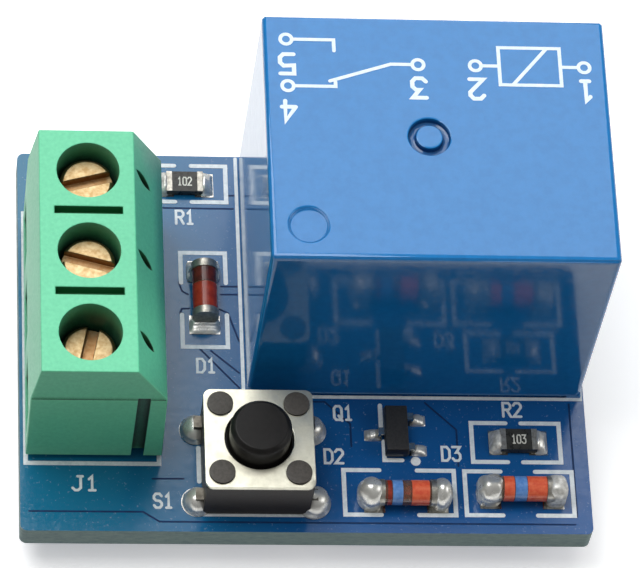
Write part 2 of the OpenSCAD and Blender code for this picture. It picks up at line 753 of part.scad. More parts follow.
module relay_armature() {
    color("lightgray") tilted() {
        translate([-armature_l, -yoke_w / 2, 0]) cube([armature_l, yoke_w, armature_t]);
        for (s = [-1, 1]) translate([-armature_l / 2, s * leaf_w / 4, armature_t])
            cylinder(d = rivet_d, h = leaf_t + contact_gap, $fn = fine);
    }
}

module relay_contact_leaf() {
    over = yoke_back - moving_x + arm_w / 2;
    color("peru") tilted() difference() {
        translate([-over, -leaf_w / 2, armature_t]) cube([over - yoke_t, leaf_w, leaf_t]);
        translate([moving_x - yoke_back, 0, armature_t - cut]) cylinder(d = rivet_d, h = 2 * cut, $fn = fine);
        for (s = [-1, 1]) translate([-armature_l / 2, s * leaf_w / 4, armature_t - cut])
            cylinder(d = rivet_d, h = 2 * cut, $fn = fine);
    }
}

module relay_moving_contact() {
    color("whitesmoke") tilted() translate([moving_x - yoke_back, 0, armature_t]) {
        cylinder(d = rivet_d, h = leaf_t, $fn = fine);
        translate([0, 0, leaf_t]) cylinder(d = contact_d, h = contact_h, $fn = fine);
        translate([0, 0, -contact_h]) cylinder(d = contact_d, h = contact_h, $fn = fine);
    }
}

// Terminal whose arm, with its lower face at z, reaches from its pin to the contacts
module contact_terminal(lead, z) {
    side = lead[1] > relay_cy ? 1 : -1;
    reach = side * (lead[1] - relay_cy) + lead[3] / 2;
    lead_bar(lead, 0, z);
    translate([contact_x - relay_pin_t / 2, relay_cy, z]) {
        translate([0, side > 0 ? -arm_w / 2 : -reach, 0]) cube([arm_w, reach + arm_w / 2, relay_pin_t]);
        translate([0, -arm_w / 2, 0]) cube([contact_run + relay_pin_t / 2 + arm_w / 2, arm_w, relay_pin_t]);
    }
}

module relay_make_terminal() {
    color("darkorange") contact_terminal(contact_leads[0], make_z - contact_h - relay_pin_t);
}

module relay_break_terminal() {
    color("darkorange") contact_terminal(contact_leads[1], break_z + contact_h);
}

module relay_fixed_contacts() {
    color("whitesmoke") for (z = [make_z - contact_h, break_z]) translate([moving_x, relay_cy, z])
        cylinder(d = contact_d, h = contact_h, $fn = fine);
}

module relay_common_terminal() {
    color("darkorange") lead_bar(common_lead, 0, inside_z);
}

module relay_coil_pins() {
    color("silver") for (p = coil_leads) lead_bar(p, 0, winding_z + coil_pin_w);
}

module posts(z, h) {
    for (x = [-1, 1], y = [-1, 1])
        translate([switch_cx + x * post_pitch / 2, switch_cy + y * post_pitch / 2, z])
            cylinder(d = post_d, h = h, $fn = fine);
}

// Moulded cup with the posts that rivet the cover down
module switch_base() {
    w = switch_w - 2 * cover_lip;
    color("dimgray") {
        difference() {
            translate([switch_cx - w / 2, switch_cy - w / 2, top + switch_foot])
                cube([w, w, cover_z - top - switch_foot]);
            translate([switch_cx, switch_cy, well_z]) cylinder(d = well_d, h = switch_h, $fn = fine);
            for (p = switch_leads) leg_strip(p);
        }
        posts(cover_z, cover_t + post_h);
    }
}

module switch_cover() {
    color("ivory") difference() {
        translate([switch_cx - switch_w / 2, switch_cy - switch_w / 2, cover_z])
            linear_extrude(height = cover_t) rounded_square(switch_w, switch_w, cover_r);
        translate([switch_cx, switch_cy, cover_z - cut])
            cylinder(d = cover_hole_d, h = cover_t + 2 * cut, $fn = fine);
        posts(cover_z - cut, cover_t + 2 * cut);
    }
}

module switch_plunger() {
    end_z = cover_z + cover_t + button_h;
    color("darkslategray") translate([switch_cx, switch_cy, 0]) rotate_extrude($fn = fine)
        polygon([[0, dome_top], [stem_d / 2, dome_top], [stem_d / 2, flange_z], [flange_d / 2, flange_z],
                 [flange_d / 2, flange_z + flange_t_button], [button_d / 2, flange_z + flange_t_button],
                 [button_d / 2, end_z - button_edge], [button_d / 2 - button_edge / 3, end_z - button_edge / 3],
                 [button_d / 2 - button_edge, end_z], [0, end_z]]);
}

// Thin sprung shell that snaps down below the plunger
module switch_dome() {
    r = well_d / 2 - 2 * button_gap;
    drop = dome_top - dome_t - well_z;
    color("lightgray") translate([switch_cx, switch_cy, 0]) rotate_extrude($fn = fine)
        polygon([[0, dome_top - dome_t], [r / 2, dome_top - dome_t - drop / 4], [r, well_z],
                 [r, well_z + dome_t], [r / 2, dome_top - drop / 4], [0, dome_top]]);
}

// Part of a leg that lies in the base, below the dome's well
module leg_strip(p) {
    side = p[0] > switch_cx ? 1 : -1;
    inner = switch_cx + side * well_d / 4;
    translate([min(inner, p[0] + side * leg_t / 2), p[1] - leg_w / 2, leg_z])
        cube([abs(p[0] + side * leg_t / 2 - inner), leg_w, leg_t]);
}

module switch_legs() {
    color("silver") for (p = switch_leads) {
        leg_strip(p);
        lead_bar(p, 0, leg_z);
    }
}

module resistor_body(place) {
    color("black") at(place) translate([-chip_l / 2 + chip_plate, -chip_w / 2, chip_plate])
        cube([chip_l - 2 * chip_plate, chip_w, chip_h - 2 * chip_plate]);
}

// Plated ends that wrap the body's top, end and underside
module resistor_caps(place) {
    color("silver") at(place) difference() {
        both_ends() translate([chip_l / 2 - chip_cap, -chip_w / 2, 0]) cube([chip_cap, chip_w, chip_h]);
        translate([-chip_l / 2 + chip_plate, -chip_w / 2 - cut, chip_plate])
            cube([chip_l - 2 * chip_plate, chip_w + 2 * cut, chip_h - 2 * chip_plate]);
    }
}

// Turns a part that is made along +Z so that it lies along the diode's own X
module along(place, x) {
    at(place) translate([x, 0, film_t + diode_d / 2]) rotate([0, 90, 0]) children();
}

module diode_glass(place) {
    color("orange") along(place, -diode_l / 2 + diode_cap) ring(glass_d, glass_bore, diode_l - 2 * diode_cap);
}

// Two copper-clad studs with the silicon chip between them
module diode_studs(place) {
    stud_l = diode_l / 2 - diode_cap - die_t / 2;
    color("firebrick") {
        along(place, -diode_l / 2 + diode_cap) cylinder(d = glass_bore, h = stud_l, $fn = fine);
        along(place, die_t / 2) cylinder(d = glass_bore, h = stud_l, $fn = fine);
        along(place, -die_t / 2) translate([-die_w / 2, -die_w / 2, 0]) cube([die_w, die_w, die_t]);
    }
}

module diode_caps(place) {
    color("silver") for (x = [-diode_l / 2, diode_l / 2 - diode_cap])
        along(place, x) cylinder(d = diode_d, h = diode_cap, $fn = fine);
}

// Places the children, made for the lead on +X, at each of the three leads
module transistor_feet() {
    rotate([0, 0, 180]) children();
    for (s = [-1, 1]) translate([0, s * trans_pitch / 2, 0]) children();
}

// Half-width section of the body: its sides lean in above and below the leads
module draft_section(w, l) {
    mid = trans_h / 2;
    lean = (trans_h - trans_lead_t) / 2 * tan(trans_draft);
    linear_extrude(height = l, center = true)
        polygon([[-w / 2 + lean, trans_lift], [w / 2 - lean, trans_lift], [w / 2, mid - trans_lead_t / 2],
                 [w / 2, mid + trans_lead_t / 2], [w / 2 - lean, trans_h], [-w / 2 + lean, trans_h],
                 [-w / 2, mid + trans_lead_t / 2], [-w / 2, mid - trans_lead_t / 2]]);
}

module transistor_body() {
    color("black") at(transistor) intersection() {
        rotate([90, 0, 0]) draft_section(trans_w, trans_l + cut);
        rotate([90, 0, 90]) draft_section(trans_l, trans_w + cut);
    }
}

// Gull-wing leads
module transistor_leads() {
    mid = trans_h / 2 - trans_lead_t / 2;
    face = trans_w / 2;
    bend = trans_span / 2 - foot_l;
    t = trans_lead_t;
    color("silver") at(transistor) transistor_feet() translate([0, trans_lead_w / 2, 0]) rotate([90, 0, 0])
        linear_extrude(height = trans_lead_w)
            polygon([[face, mid], [bend, mid], [bend, 0], [trans_span / 2, 0], [trans_span / 2, t],
                     [bend + t, t], [bend + t, mid + t], [face, mid + t]]);
}

pcb();
solder_pads();
chip_solder();
hole_solder();
switch_solder();
terminal_housing();
terminal_cage(0);  // terminal_cage_1
terminal_cage(1);  // terminal_cage_2
terminal_cage(2);  // terminal_cage_3
wire_clamp(0);  // wire_clamp_1
wire_clamp(1);  // wire_clamp_2
wire_clamp(2);  // wire_clamp_3
terminal_screw(0);  // terminal_screw_1
terminal_screw(1);  // terminal_screw_2
terminal_screw(2);  // terminal_screw_3
relay_case();
relay_base();
relay_resin();
relay_bobbin();
relay_coil();
relay_core();
relay_yoke();
relay_armature();
relay_contact_leaf();
relay_moving_contact();
relay_make_terminal();
relay_break_terminal();
relay_fixed_contacts();
relay_common_terminal();
relay_coil_pins();
switch_base();
switch_cover();
switch_plunger();
switch_dome();
switch_legs();
resistor_body(resistor_1);  // resistor_1_body
resistor_caps(resistor_1);  // resistor_1_caps
resistor_body(resistor_2);  // resistor_2_body
resistor_caps(resistor_2);  // resistor_2_caps
diode_glass(diode_1);  // diode_1_glass
diode_studs(diode_1);  // diode_1_studs
diode_caps(diode_1);  // diode_1_caps
diode_glass(diode_2);  // diode_2_glass
diode_studs(diode_2);  // diode_2_studs
diode_caps(diode_2);  // diode_2_caps
diode_glass(diode_3);  // diode_3_glass
diode_studs(diode_3);  // diode_3_studs
diode_caps(diode_3);  // diode_3_caps
transistor_body();
transistor_leads();
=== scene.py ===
import json
import math

import bmesh
import bpy
from mathutils import Matrix, Vector, noise

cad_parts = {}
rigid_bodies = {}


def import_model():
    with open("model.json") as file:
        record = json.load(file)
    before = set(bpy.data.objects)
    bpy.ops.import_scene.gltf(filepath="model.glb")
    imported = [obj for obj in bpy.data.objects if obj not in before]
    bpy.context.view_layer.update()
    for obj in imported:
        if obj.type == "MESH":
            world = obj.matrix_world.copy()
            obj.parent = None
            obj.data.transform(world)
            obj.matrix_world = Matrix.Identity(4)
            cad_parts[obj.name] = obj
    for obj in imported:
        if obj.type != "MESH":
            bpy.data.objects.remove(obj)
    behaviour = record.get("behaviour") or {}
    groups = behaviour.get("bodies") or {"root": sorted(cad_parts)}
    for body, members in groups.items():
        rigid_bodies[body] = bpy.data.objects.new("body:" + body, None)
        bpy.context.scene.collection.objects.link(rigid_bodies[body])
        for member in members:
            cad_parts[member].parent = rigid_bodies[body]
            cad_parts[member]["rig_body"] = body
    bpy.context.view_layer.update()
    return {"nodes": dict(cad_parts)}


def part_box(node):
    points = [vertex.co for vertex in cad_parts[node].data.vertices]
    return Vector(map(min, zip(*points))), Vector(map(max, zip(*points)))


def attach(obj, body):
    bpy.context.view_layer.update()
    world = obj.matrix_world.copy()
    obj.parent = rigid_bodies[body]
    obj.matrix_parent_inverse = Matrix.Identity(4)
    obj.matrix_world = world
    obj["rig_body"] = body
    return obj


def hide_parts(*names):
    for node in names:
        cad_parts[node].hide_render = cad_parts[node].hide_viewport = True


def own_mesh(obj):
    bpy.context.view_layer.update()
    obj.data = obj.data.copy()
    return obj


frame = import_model()


# ---- Table, camera and lights ----
# The module lies on a pale table under a soft light overhead and a soft strip behind it, which
# shows in the level gloss. Little light comes back from the table, so walls stay darker.

MM = 0.001


def linear(colour):
    """Linear RGBA of an sRGB hex value."""
    parts = [int(colour[i:i + 2], 16) / 255 for i in (1, 3, 5)]
    return [c / 12.92 if c <= 0.04045 else ((c + 0.055) / 1.055) ** 2.4 for c in parts] + [1]


def add(tree, kind, inputs=None, **settings):
    """Adds a node with its settings; inputs maps a socket's name or number to a value or an output."""
    made = tree.nodes.new("ShaderNode" + kind)
    for key, value in settings.items():
        setattr(made, key, value)
    for key, value in (inputs or {}).items():
        if isinstance(value, bpy.types.NodeSocket):
            tree.links.new(value, made.inputs[key])
        else:
            made.inputs[key].default_value = value
    return made


def new_material(name):
    """A material with an empty node tree."""
    material = bpy.data.materials.new(name)
    material.use_nodes = True
    material.node_tree.nodes.clear()
    return material, material.node_tree


def table_paper():
    """Matt white paper. It is seen white, straight or mirrored or through glass, with the
    module's shadow on it; the light that it throws back is that of a grey."""
    material, tree = new_material("matt_white_paper")
    seen = add(tree, "LightPath")
    shown = add(tree, "Math", {0: seen.outputs["Is Camera Ray"], 1: seen.outputs["Is Glossy Ray"]},
                operation="MAXIMUM")
    shown = add(tree, "Math", {0: shown.outputs[0], 1: seen.outputs["Is Transmission Ray"]},
                operation="MAXIMUM")
    tone = add(tree, "Mix", {0: shown.outputs[0], 6: linear("#8C8C8C"), 7: linear("#FBFBFB")},
               data_type="RGBA")
    body = add(tree, "BsdfDiffuse", {"Color": tone.outputs[2]})
    glow = add(tree, "Emission", {"Color": linear("#FFFFFF"), "Strength": 0.35})
    lit = add(tree, "AddShader", {0: body.outputs[0], 1: glow.outputs[0]})
    both = add(tree, "MixShader", {0: shown.outputs[0], 1: body.outputs[0], 2: lit.outputs[0]})
    add(tree, "OutputMaterial", {"Surface": both.outputs[0]})
    return material


table_half, table_cells = 0.4, 8
table_shape = bmesh.new()
bmesh.ops.create_grid(table_shape, x_segments=table_cells, y_segments=table_cells, size=table_half)
table_data = bpy.data.meshes.new("table")
table_shape.to_mesh(table_data)
table_shape.free()
table_data.materials.append(table_paper())
table = bpy.data.objects.new("table", table_data)
bpy.context.scene.collection.objects.link(table)

camera_data = bpy.data.cameras.new("camera")
camera_data.lens = 250.27
camera_data.sensor_width = 36
camera_data.clip_start, camera_data.clip_end = 0.01, 5
camera = bpy.data.objects.new("camera", camera_data)
camera.location = (-25.885 * MM, -120.204 * MM, 224.426 * MM)
camera.rotation_euler = [math.radians(a) for a in (29.37669, -5.69881, -2.34974)]
bpy.context.scene.collection.objects.link(camera)
bpy.context.scene.camera = camera

lamps = [  # name, place in mm, size in mm, watts
    ("softbox_overhead", (-95, 55, 260), 170, 0.5),
    ("strip_behind", (30, 215, 235), 200, 0.36),
    ("fill_beside", (235, -30, 150), 150, 0.16),
]
for name, place, size, watts in lamps:
    lamp_data = bpy.data.lights.new(name, "AREA")
    lamp_data.size = size * MM
    lamp_data.energy = watts
    lamp = bpy.data.objects.new(name, lamp_data)
    lamp.location = Vector(place) * MM
    lamp.rotation_euler = (-lamp.location).to_track_quat("-Z", "Y").to_euler()
    bpy.context.scene.collection.objects.link(lamp)

horizon_level, zenith_level, seen_level = 0.14, 0.36, 1.0
studio = bpy.data.worlds.new("studio")
bpy.context.scene.world = studio
studio.use_nodes = True
tree = studio.node_tree
tree.nodes.clear()
ray = add(tree, "TexCoord")
height = add(tree, "SeparateXYZ", {0: ray.outputs["Generated"]})
sky = add(tree, "MapRange", {0: height.outputs["Z"], 3: horizon_level, 4: zenith_level})
seen = add(tree, "LightPath")
sky_level = add(tree, "Mix", {0: seen.outputs["Is Camera Ray"], 2: sky.outputs[0], 3: seen_level})
air = add(tree, "Background", {"Color": linear("#FFFFFF"), "Strength": sky_level.outputs[0]})
add(tree, "OutputWorld", {"Surface": air.outputs[0]})
bpy.context.scene.view_settings.view_transform = "Standard"


# ---- Circuit board ----
# Glass-fibre laminate, 1.6 mm, with glossy blue solder mask printed over the copper on both
# sides. Its edges are milled, so they show the bare grey-green fibre.

cad_nodes = frame["nodes"]


def corners(node):
    """Lowest and highest corner, in mm, of a CAD node at rest."""
    return [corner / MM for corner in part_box(node)]


def middle(node):
    """Middle, in mm, of a CAD node's box."""
    low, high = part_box(node)
    return (low + high) / 2 / MM


def solids(node):
    """Lowest and highest corner, in mm, of each separate solid of a CAD node."""
    shape = bmesh.new()
    shape.from_mesh(cad_nodes[node].data)
    bmesh.ops.remove_doubles(shape, verts=shape.verts, dist=1e-7)
    left = set(shape.verts)
    boxes = []
    while left:
        rim = [left.pop()]
        group = list(rim)
        while rim:
            vert = rim.pop()
            near = {edge.other_vert(vert) for edge in vert.link_edges} & left
            left -= near
            rim += near
            group += near
        boxes.append([Vector([pick(v.co[axis] for v in group) / MM for axis in range(3)])
                      for pick in (min, max)])
    shape.free()
    return sorted(boxes, key=lambda ends: tuple(ends[0]))


def piece(name, shape, material, body="board", nodes=(), crease=35):
    """Makes a piece in the frame from a mesh in millimetres; it may stand for CAD nodes."""
    bmesh.ops.scale(shape, vec=(MM, MM, MM), verts=shape.verts)
    bmesh.ops.recalc_face_normals(shape, faces=shape.faces)
    data = bpy.data.meshes.new(name)
    shape.to_mesh(data)
    shape.free()
    data.shade_smooth()
    data.set_sharp_from_angle(angle=math.radians(crease))
    for finish in material if isinstance(material, list) else [material]:
        data.materials.append(finish)
    thing = bpy.data.objects.new(name, data)
    bpy.context.scene.collection.objects.link(thing)
    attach(thing, body)
    if nodes:
        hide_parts(*nodes)
    return thing


def finish_with(material, *names):
    """Gives a material to CAD nodes that stay as they are."""
    for name in names:
        for place in cad_nodes[name].material_slots:
            place.material = material


def circle(x, y, radius, steps):
    """Points round a circle."""
    return [(x + radius * math.cos(a), y + radius * math.sin(a))
            for a in (math.tau * k / steps for k in range(steps))]


def slab(shape, outline, bottom, height):
    """A plate with upright walls over an outline of points."""
    low = [shape.verts.new((x, y, bottom)) for x, y in outline]
    high = [shape.verts.new((x, y, bottom + height)) for x, y in outline]
    shape.faces.new(low)
    shape.faces.new(high)
    for i in range(len(outline)):
        shape.faces.new((low[i - 1], low[i], high[i], high[i - 1]))


def ribbon(shape, points, width, bottom, height, closed=False):
    """A flat line with round ends, as printed or etched, on a level surface."""
    path = [Vector(point) for point in points]
    last = len(path) - 1
    cap_steps, tightest = 6, 0.45
    sides = []
    for i, point in enumerate(path):
        arrive = (point - path[i - 1]).normalized() if i or closed else None
        leave = (path[(i + 1) % len(path)] - point).normalized() if i < last or closed else None
        arrive, leave = arrive or leave, leave or arrive
        across = (arrive + leave).normalized().orthogonal()
        reach = width / 2 / max(across.dot(arrive.orthogonal()), tightest)
        sides.append((point + across * reach, point - across * reach))
    if closed:
        rims = [[[shape.verts.new((*pair[side], z)) for pair in sides] for side in (0, 1)]
                for z in (bottom, bottom + height)]
        walls = [rims[0][0], rims[1][0], rims[1][1], rims[0][1]]
        for k, wall in enumerate(walls):
            for i in range(len(sides)):
                shape.faces.new((walls[k - 1][i - 1], walls[k - 1][i], wall[i], wall[i - 1]))
        return
    caps = []
    for end, out in ((last, path[last] - path[last - 1]), (0, path[0] - path[1])):
        start = math.atan2(out.y, out.x) - math.pi / 2
        caps.append([path[end] + Vector((math.cos(a), math.sin(a))) * width / 2
                     for a in (start + math.pi * k / cap_steps for k in range(cap_steps + 1))])
    right = [pair[1] for pair in sides[1:last]]
    left = [pair[0] for pair in sides[1:last]]
    slab(shape, right + caps[0] + left[::-1] + caps[1], bottom, height)


def board_mask():
    """Blue epoxy solder mask, printed and baked: glossy, a little wavy, with fine dust, and with
    painted green bounce light from the terminal block towards one end; the milled edges show layers of
    glass cloth."""
    material, tree = new_material("blue_solder_mask_on_laminate")
    where = add(tree, "TexCoord")
    shade_mm, wave_mm, wave_rise_mm, speck_mm, cloth_mm = 9, 0.7, 0.012, 0.16, 0.18
    bounce_starts_x_mm, bounce_full_x_mm = 4, -15
    shade = add(tree, "TexNoise", {"Vector": where.outputs["Object"], "Scale": 1 / (shade_mm * MM),
                                   "Detail": 3, "Roughness": 0.5})
    shade = add(tree, "MapRange", {0: shade.outputs["Fac"], 1: 0.35, 2: 0.65})
    mask = add(tree, "Mix", {0: shade.outputs[0], 6: linear("#0C4380"), 7: linear("#12528E")},
               data_type="RGBA")
    place = add(tree, "SeparateXYZ", {0: where.outputs["Object"]})
    # Painted green bounce light: the mask turns teal from here towards the terminal block's end, as if
    # lit by the green moulding.
    green_bounce_paint = add(tree, "MapRange", {0: place.outputs["X"], 1: bounce_starts_x_mm * MM, 2: bounce_full_x_mm * MM},
                   interpolation_type="SMOOTHSTEP")
    mask = add(tree, "Mix", {0: green_bounce_paint.outputs[0], 6: mask.outputs[2], 7: linear("#136A8E")},
               data_type="RGBA")
    specks = add(tree, "TexNoise", {"Vector": where.outputs["Object"],
                                    "Scale": 1 / (speck_mm * MM), "Detail": 2})
    dust = add(tree, "MapRange", {0: specks.outputs["Fac"], 1: 0.66, 2: 0.74, 4: 0.3})
    mask = add(tree, "Mix", {0: dust.outputs[0], 6: mask.outputs[2], 7: linear("#8FA6BC")},
               data_type="RGBA")
    gloss = add(tree, "MapRange", {0: specks.outputs["Fac"], 1: 0.3, 2: 0.7, 3: 0.1, 4: 0.24})
    wave = add(tree, "TexNoise", {"Vector": where.outputs["Object"], "Scale": 1 / (wave_mm * MM),
                                  "Detail": 1})
    relief = add(tree, "Bump", {"Height": wave.outputs["Fac"], "Distance": wave_rise_mm * MM,
                                "Strength": 0.5})
    top = add(tree, "BsdfPrincipled", {"Base Color": mask.outputs[2], "Roughness": gloss.outputs[0],
                                       "IOR": 1.52, "Normal": relief.outputs[0]})
    layers = add(tree, "Mapping", {0: where.outputs["Object"], 3: (0.35, 0.35, 1)})
    cloth = add(tree, "TexNoise", {"Vector": layers.outputs[0], "Scale": 1 / (cloth_mm * MM),
                                   "Detail": 4, "Roughness": 0.7})
    fibre = add(tree, "Mix", {0: cloth.outputs["Fac"], 6: linear("#546E76"), 7: linear("#A9C0B8")},
                data_type="RGBA")
    edge = add(tree, "BsdfPrincipled", {"Base Color": fibre.outputs[2], "Roughness": 0.7,
                                        "IOR": 1.55})
    facing = add(tree, "NewGeometry")
    tilt = add(tree, "SeparateXYZ", {0: facing.outputs["Normal"]})
    upright = add(tree, "Math", {0: tilt.outputs["Z"]}, operation="ABSOLUTE")
    level = add(tree, "Math", {0: upright.outputs[0], 1: 0.5}, operation="GREATER_THAN")
    both = add(tree, "MixShader", {0: level.outputs[0], 1: edge.outputs[0], 2: top.outputs[0]})
    add(tree, "OutputMaterial", {"Surface": both.outputs[0]})
    return material


def plain(name, colour, roughness, grain_mm, other=None, metallic=0.0, bump=0.0, contrast=0.3,
          rough_spread=0.05, recess_shade=None, recess_mm=1.0, open_from=(0.35, 0.85), deep_shade=None,
          deep_shade_z=(0, 1), **sockets):
    """A finish whose colour, gloss and relief vary at the size of its own grain; in narrow
    recesses, where ambient occlusion finds them, it may go over to a painted shade colour, and low down
    in them to a deeper painted shade."""
    material, tree = new_material(name)
    where = add(tree, "TexCoord")
    grain = add(tree, "TexNoise", {"Vector": where.outputs["Object"], "Scale": 1 / (grain_mm * MM),
                                   "Detail": 3, "Roughness": 0.6})
    span = add(tree, "MapRange", {0: grain.outputs["Fac"], 1: 0.5 - contrast / 2,
                                  2: 0.5 + contrast / 2})
    tone = add(tree, "Mix", {0: span.outputs[0], 6: linear(colour), 7: linear(other or colour)},
               data_type="RGBA")
    # Painted shade: where ambient occlusion finds a narrow recess, the colour goes over to a darker
    # one, and lower down to a deeper one.
    if recess_shade:
        open_sky = add(tree, "AmbientOcclusion", {"Distance": recess_mm * MM}, samples=8,
                       only_local=True)
        depth = add(tree, "MapRange", {0: open_sky.outputs["AO"], 1: open_from[0], 2: open_from[1]})
        place = add(tree, "SeparateXYZ", {0: where.outputs["Object"]})
        low_down = add(tree, "MapRange", {0: place.outputs["Z"], 1: deep_shade_z[0] * MM,
                                          2: deep_shade_z[1] * MM})
        shade = add(tree, "Mix", {0: low_down.outputs[0], 6: linear(deep_shade or recess_shade),
                                  7: linear(recess_shade)}, data_type="RGBA")
        tone = add(tree, "Mix", {0: depth.outputs[0], 6: shade.outputs[2], 7: tone.outputs[2]},
                   data_type="RGBA")
    dull = add(tree, "MapRange", {0: span.outputs[0], 3: max(roughness - rough_spread, 0),
                                  4: min(roughness + rough_spread, 1)})
    shader = add(tree, "BsdfPrincipled", {"Base Color": tone.outputs[2], "Metallic": metallic,
                                          "Roughness": dull.outputs[0], **sockets})
    if bump:
        relief = add(tree, "Bump", {"Height": grain.outputs["Fac"], "Distance": bump * MM})
        tree.links.new(relief.outputs[0], shader.inputs["Normal"])
    add(tree, "OutputMaterial", {"Surface": shader.outputs[0]})
    return material


finish_with(board_mask(), "pcb")

board_low, board_high = corners("pcb")
relay_low, relay_high = corners("relay_case")
block_low, block_high = corners("terminal_housing")
board_top, board_bottom = board_high.z, board_low.z

# Where the copper stops, the mask sinks between two conductors and looks darker and duller.
gap_w, gap_t = 0.11, 0.006
gap_lines = [
    [(-4.44, 3.46), (-3.5, 3.47)], [(-4.46, 2.94), (-3.5, 2.95)],
    [(-6.85, 3.7), (-6.68, 3.13), (-6.34, 2.91)], [(-6.83, 1.7), (-6.71, 1.99), (-6.31, 2.0)],
    [(-4.6, 1.99), (-4.09, 1.74), (-3.9, 1.1), (-3.52, -0.06)],
    [(-5.75, -0.6), (-3.61, -3.06), (-3.61, -3.9), (1.2, -3.9), (2.6, -5.3), (2.6, -6.7)],
    [(-5.13, -0.72), (-3.58, -2.11)],
    [(-3.84, 9.47), (-3.5, 9.49)],
    [(-8.63, -8.84), (-6.9, -8.83)],
    [(15.13, -3.9), (15.13, -10.99)],
    [(-15.5, -10.9), (-9.2, -10.9), (-8.3, -11.5), (1.2, -11.5), (1.9, -11.5), (15.0, -11.5)],
    [(6.9, -3.9), (8.6, -5.6), (8.6, -7.9)],
    [(-7.9, 8.6), (-3.6, 8.6)],
]
gaps = bmesh.new()
for line in gap_lines:
    ribbon(gaps, line, gap_w, board_top, gap_t)
bare_mask = plain("blue_mask_over_bare_laminate", "#08294F", 0.5, 0.5, other="#0A3260", IOR=1.52,
                  **{"Specular IOR Level": 0.15})
piece("conductor_gaps", gaps, bare_mask)

# Underside: wide load conductors from the relay's contacts to the screw terminals, and narrow
# ones for the coil and the button, all under the mask. A plated hole ends those that change
# sides.
load_w, signal_w, trace_t = 2.6, 0.4, 0.035
load_bend, load_run_in = 3.4, 1.2
via_r, via_steps, via_rise = 0.42, 24, 0.01
lead_places = [low.lerp(high, 0.5).to_2d() for low, high in solids("hole_solder")]
terminals = sorted((p for p in lead_places if p.x < block_high.x), key=lambda p: p.y)
relay_pins = [p for p in lead_places if p.y > relay_low.y and p.x > relay_low.x]
end_zone = 5  # the pins at each end of the relay stand within this of it
contact_pins = sorted((p for p in relay_pins if p.x < relay_low.x + end_zone), key=lambda p: p.y)
coil_pins = sorted((p for p in relay_pins if p.x > relay_high.x - end_zone), key=lambda p: p.y)
button_pins = sorted((p for p in lead_places if p.x > block_high.x and p.y < relay_low.y),
                     key=lambda p: (p.y, p.x))
traces = bmesh.new()
trace_z = board_bottom - trace_t
common_pin = coil_pins[1]
turn_x, turn_y = button_pins[2] - Vector((1.5, 1.5))
routes = [  # width, points
    (load_w, [contact_pins[1], (terminals[2].x + load_bend, contact_pins[1].y),
              terminals[2] + Vector((0, load_run_in)), terminals[2]]),
    (load_w, [common_pin, (terminals[1].x + load_bend, common_pin.y), terminals[1]]),
    (load_w, [contact_pins[0], (terminals[0].x + load_bend, contact_pins[0].y), terminals[0]]),
    (signal_w, [coil_pins[2], (14.9, coil_pins[2].y - 1.6), (14.9, -5.2), (13.2, -6.9),
                (13.2, -11.0), (3.4, -11.0)]),
    (signal_w, [coil_pins[0], (coil_pins[0].x, -4.2), (9.3, -6.2), (7.0, -6.2)]),
    (signal_w, [button_pins[0], (-4.6, -8.7), (-1.2, -8.7), button_pins[3]]),
    (signal_w, [button_pins[2], (turn_x, turn_y), (turn_x, -8.6), (turn_x - 1.2, -9.8),
                (-14.2, -9.8)]),
    (signal_w, [button_pins[1], (2.4, -8.4), (7.4, -8.4)]),
]
for width, points in routes:
    ribbon(traces, points, width, trace_z, trace_t)
for via_x, via_y in ((3.4, -11.0), (7.0, -6.2), (-14.2, -9.8), (7.4, -8.4)):
    slab(traces, circle(via_x, via_y, via_r, via_steps), trace_z - via_rise, trace_t)
# The copper shines through the mask, so it looks lighter there.
copper_mask = plain("blue_mask_over_copper", "#15609B", 0.16, 0.6, other="#1A69A4", IOR=1.52)
piece("underside_conductors", traces, copper_mask)


# ---- White print ----
# Epoxy ink, screen-printed over the mask: the outline of each part, with a generic mark
# beside it. The ink is matt and lies 0.02 mm thick.

line_w, relay_line_w, ink_t = 0.25, 0.2, 0.02
inset = line_w / 2
print_shape = bmesh.new()


def print_line(points, width=line_w, closed=False):
    """A line of the board's print."""
    ribbon(print_shape, points, width, board_top, ink_t, closed)


frame_left, frame_right = block_low.x - 0.1 + inset, block_high.x - 0.27 + inset
frame_front, frame_back = block_low.y - 0.43 + inset, block_high.y + 0.13
print_line([(frame_left, frame_front), (frame_right, frame_front), (frame_right, frame_back),
            (frame_left, frame_back)], closed=True)

brackets = [  # node, then from its middle: left, right, front, back, ends of left and right bracket
    ("resistor_1_body", -2.6, 2.41, -1.08, 1.33, -0.55, 0.42),
    ("resistor_2_body", -2.6, 2.4, -1.2, 1.26, -0.63, 0.24),
    ("diode_2_glass", -3.42, 2.8, -0.98, 1.8, -1.4, 0.72),
    ("diode_3_glass", -3.14, 2.94, -1.26, 1.48, -1.1, 0.87),
]
for node, left, right, front, back, left_end, right_end in brackets:
    at_x, at_y, _ = middle(node)
    for side, end in ((left, left_end), (right, right_end)):
        print_line([(at_x + x, at_y + y)
                    for x, y in ((end, front), (side, front), (side, back), (end, back))])
at_x, at_y, _ = middle("diode_1_glass")
for inner, outer in ((0.98, 2.94), (-1.1, -3.18)):
    print_line([(at_x + x, at_y + y)
                for x, y in ((-1.27, inner), (-1.27, outer), (1.29, outer), (1.29, inner))])
chip_x, chip_y, _ = middle("transistor_body")
print_line([(chip_x - 0.77, chip_y + 1.91), (chip_x - 0.77, chip_y + 0.28)])
print_line([(chip_x - 0.66, chip_y - 0.37), (chip_x - 0.66, chip_y - 1.54),
            (chip_x + 0.33, chip_y - 1.54)])
dot_r, dot_steps = 0.28, 20

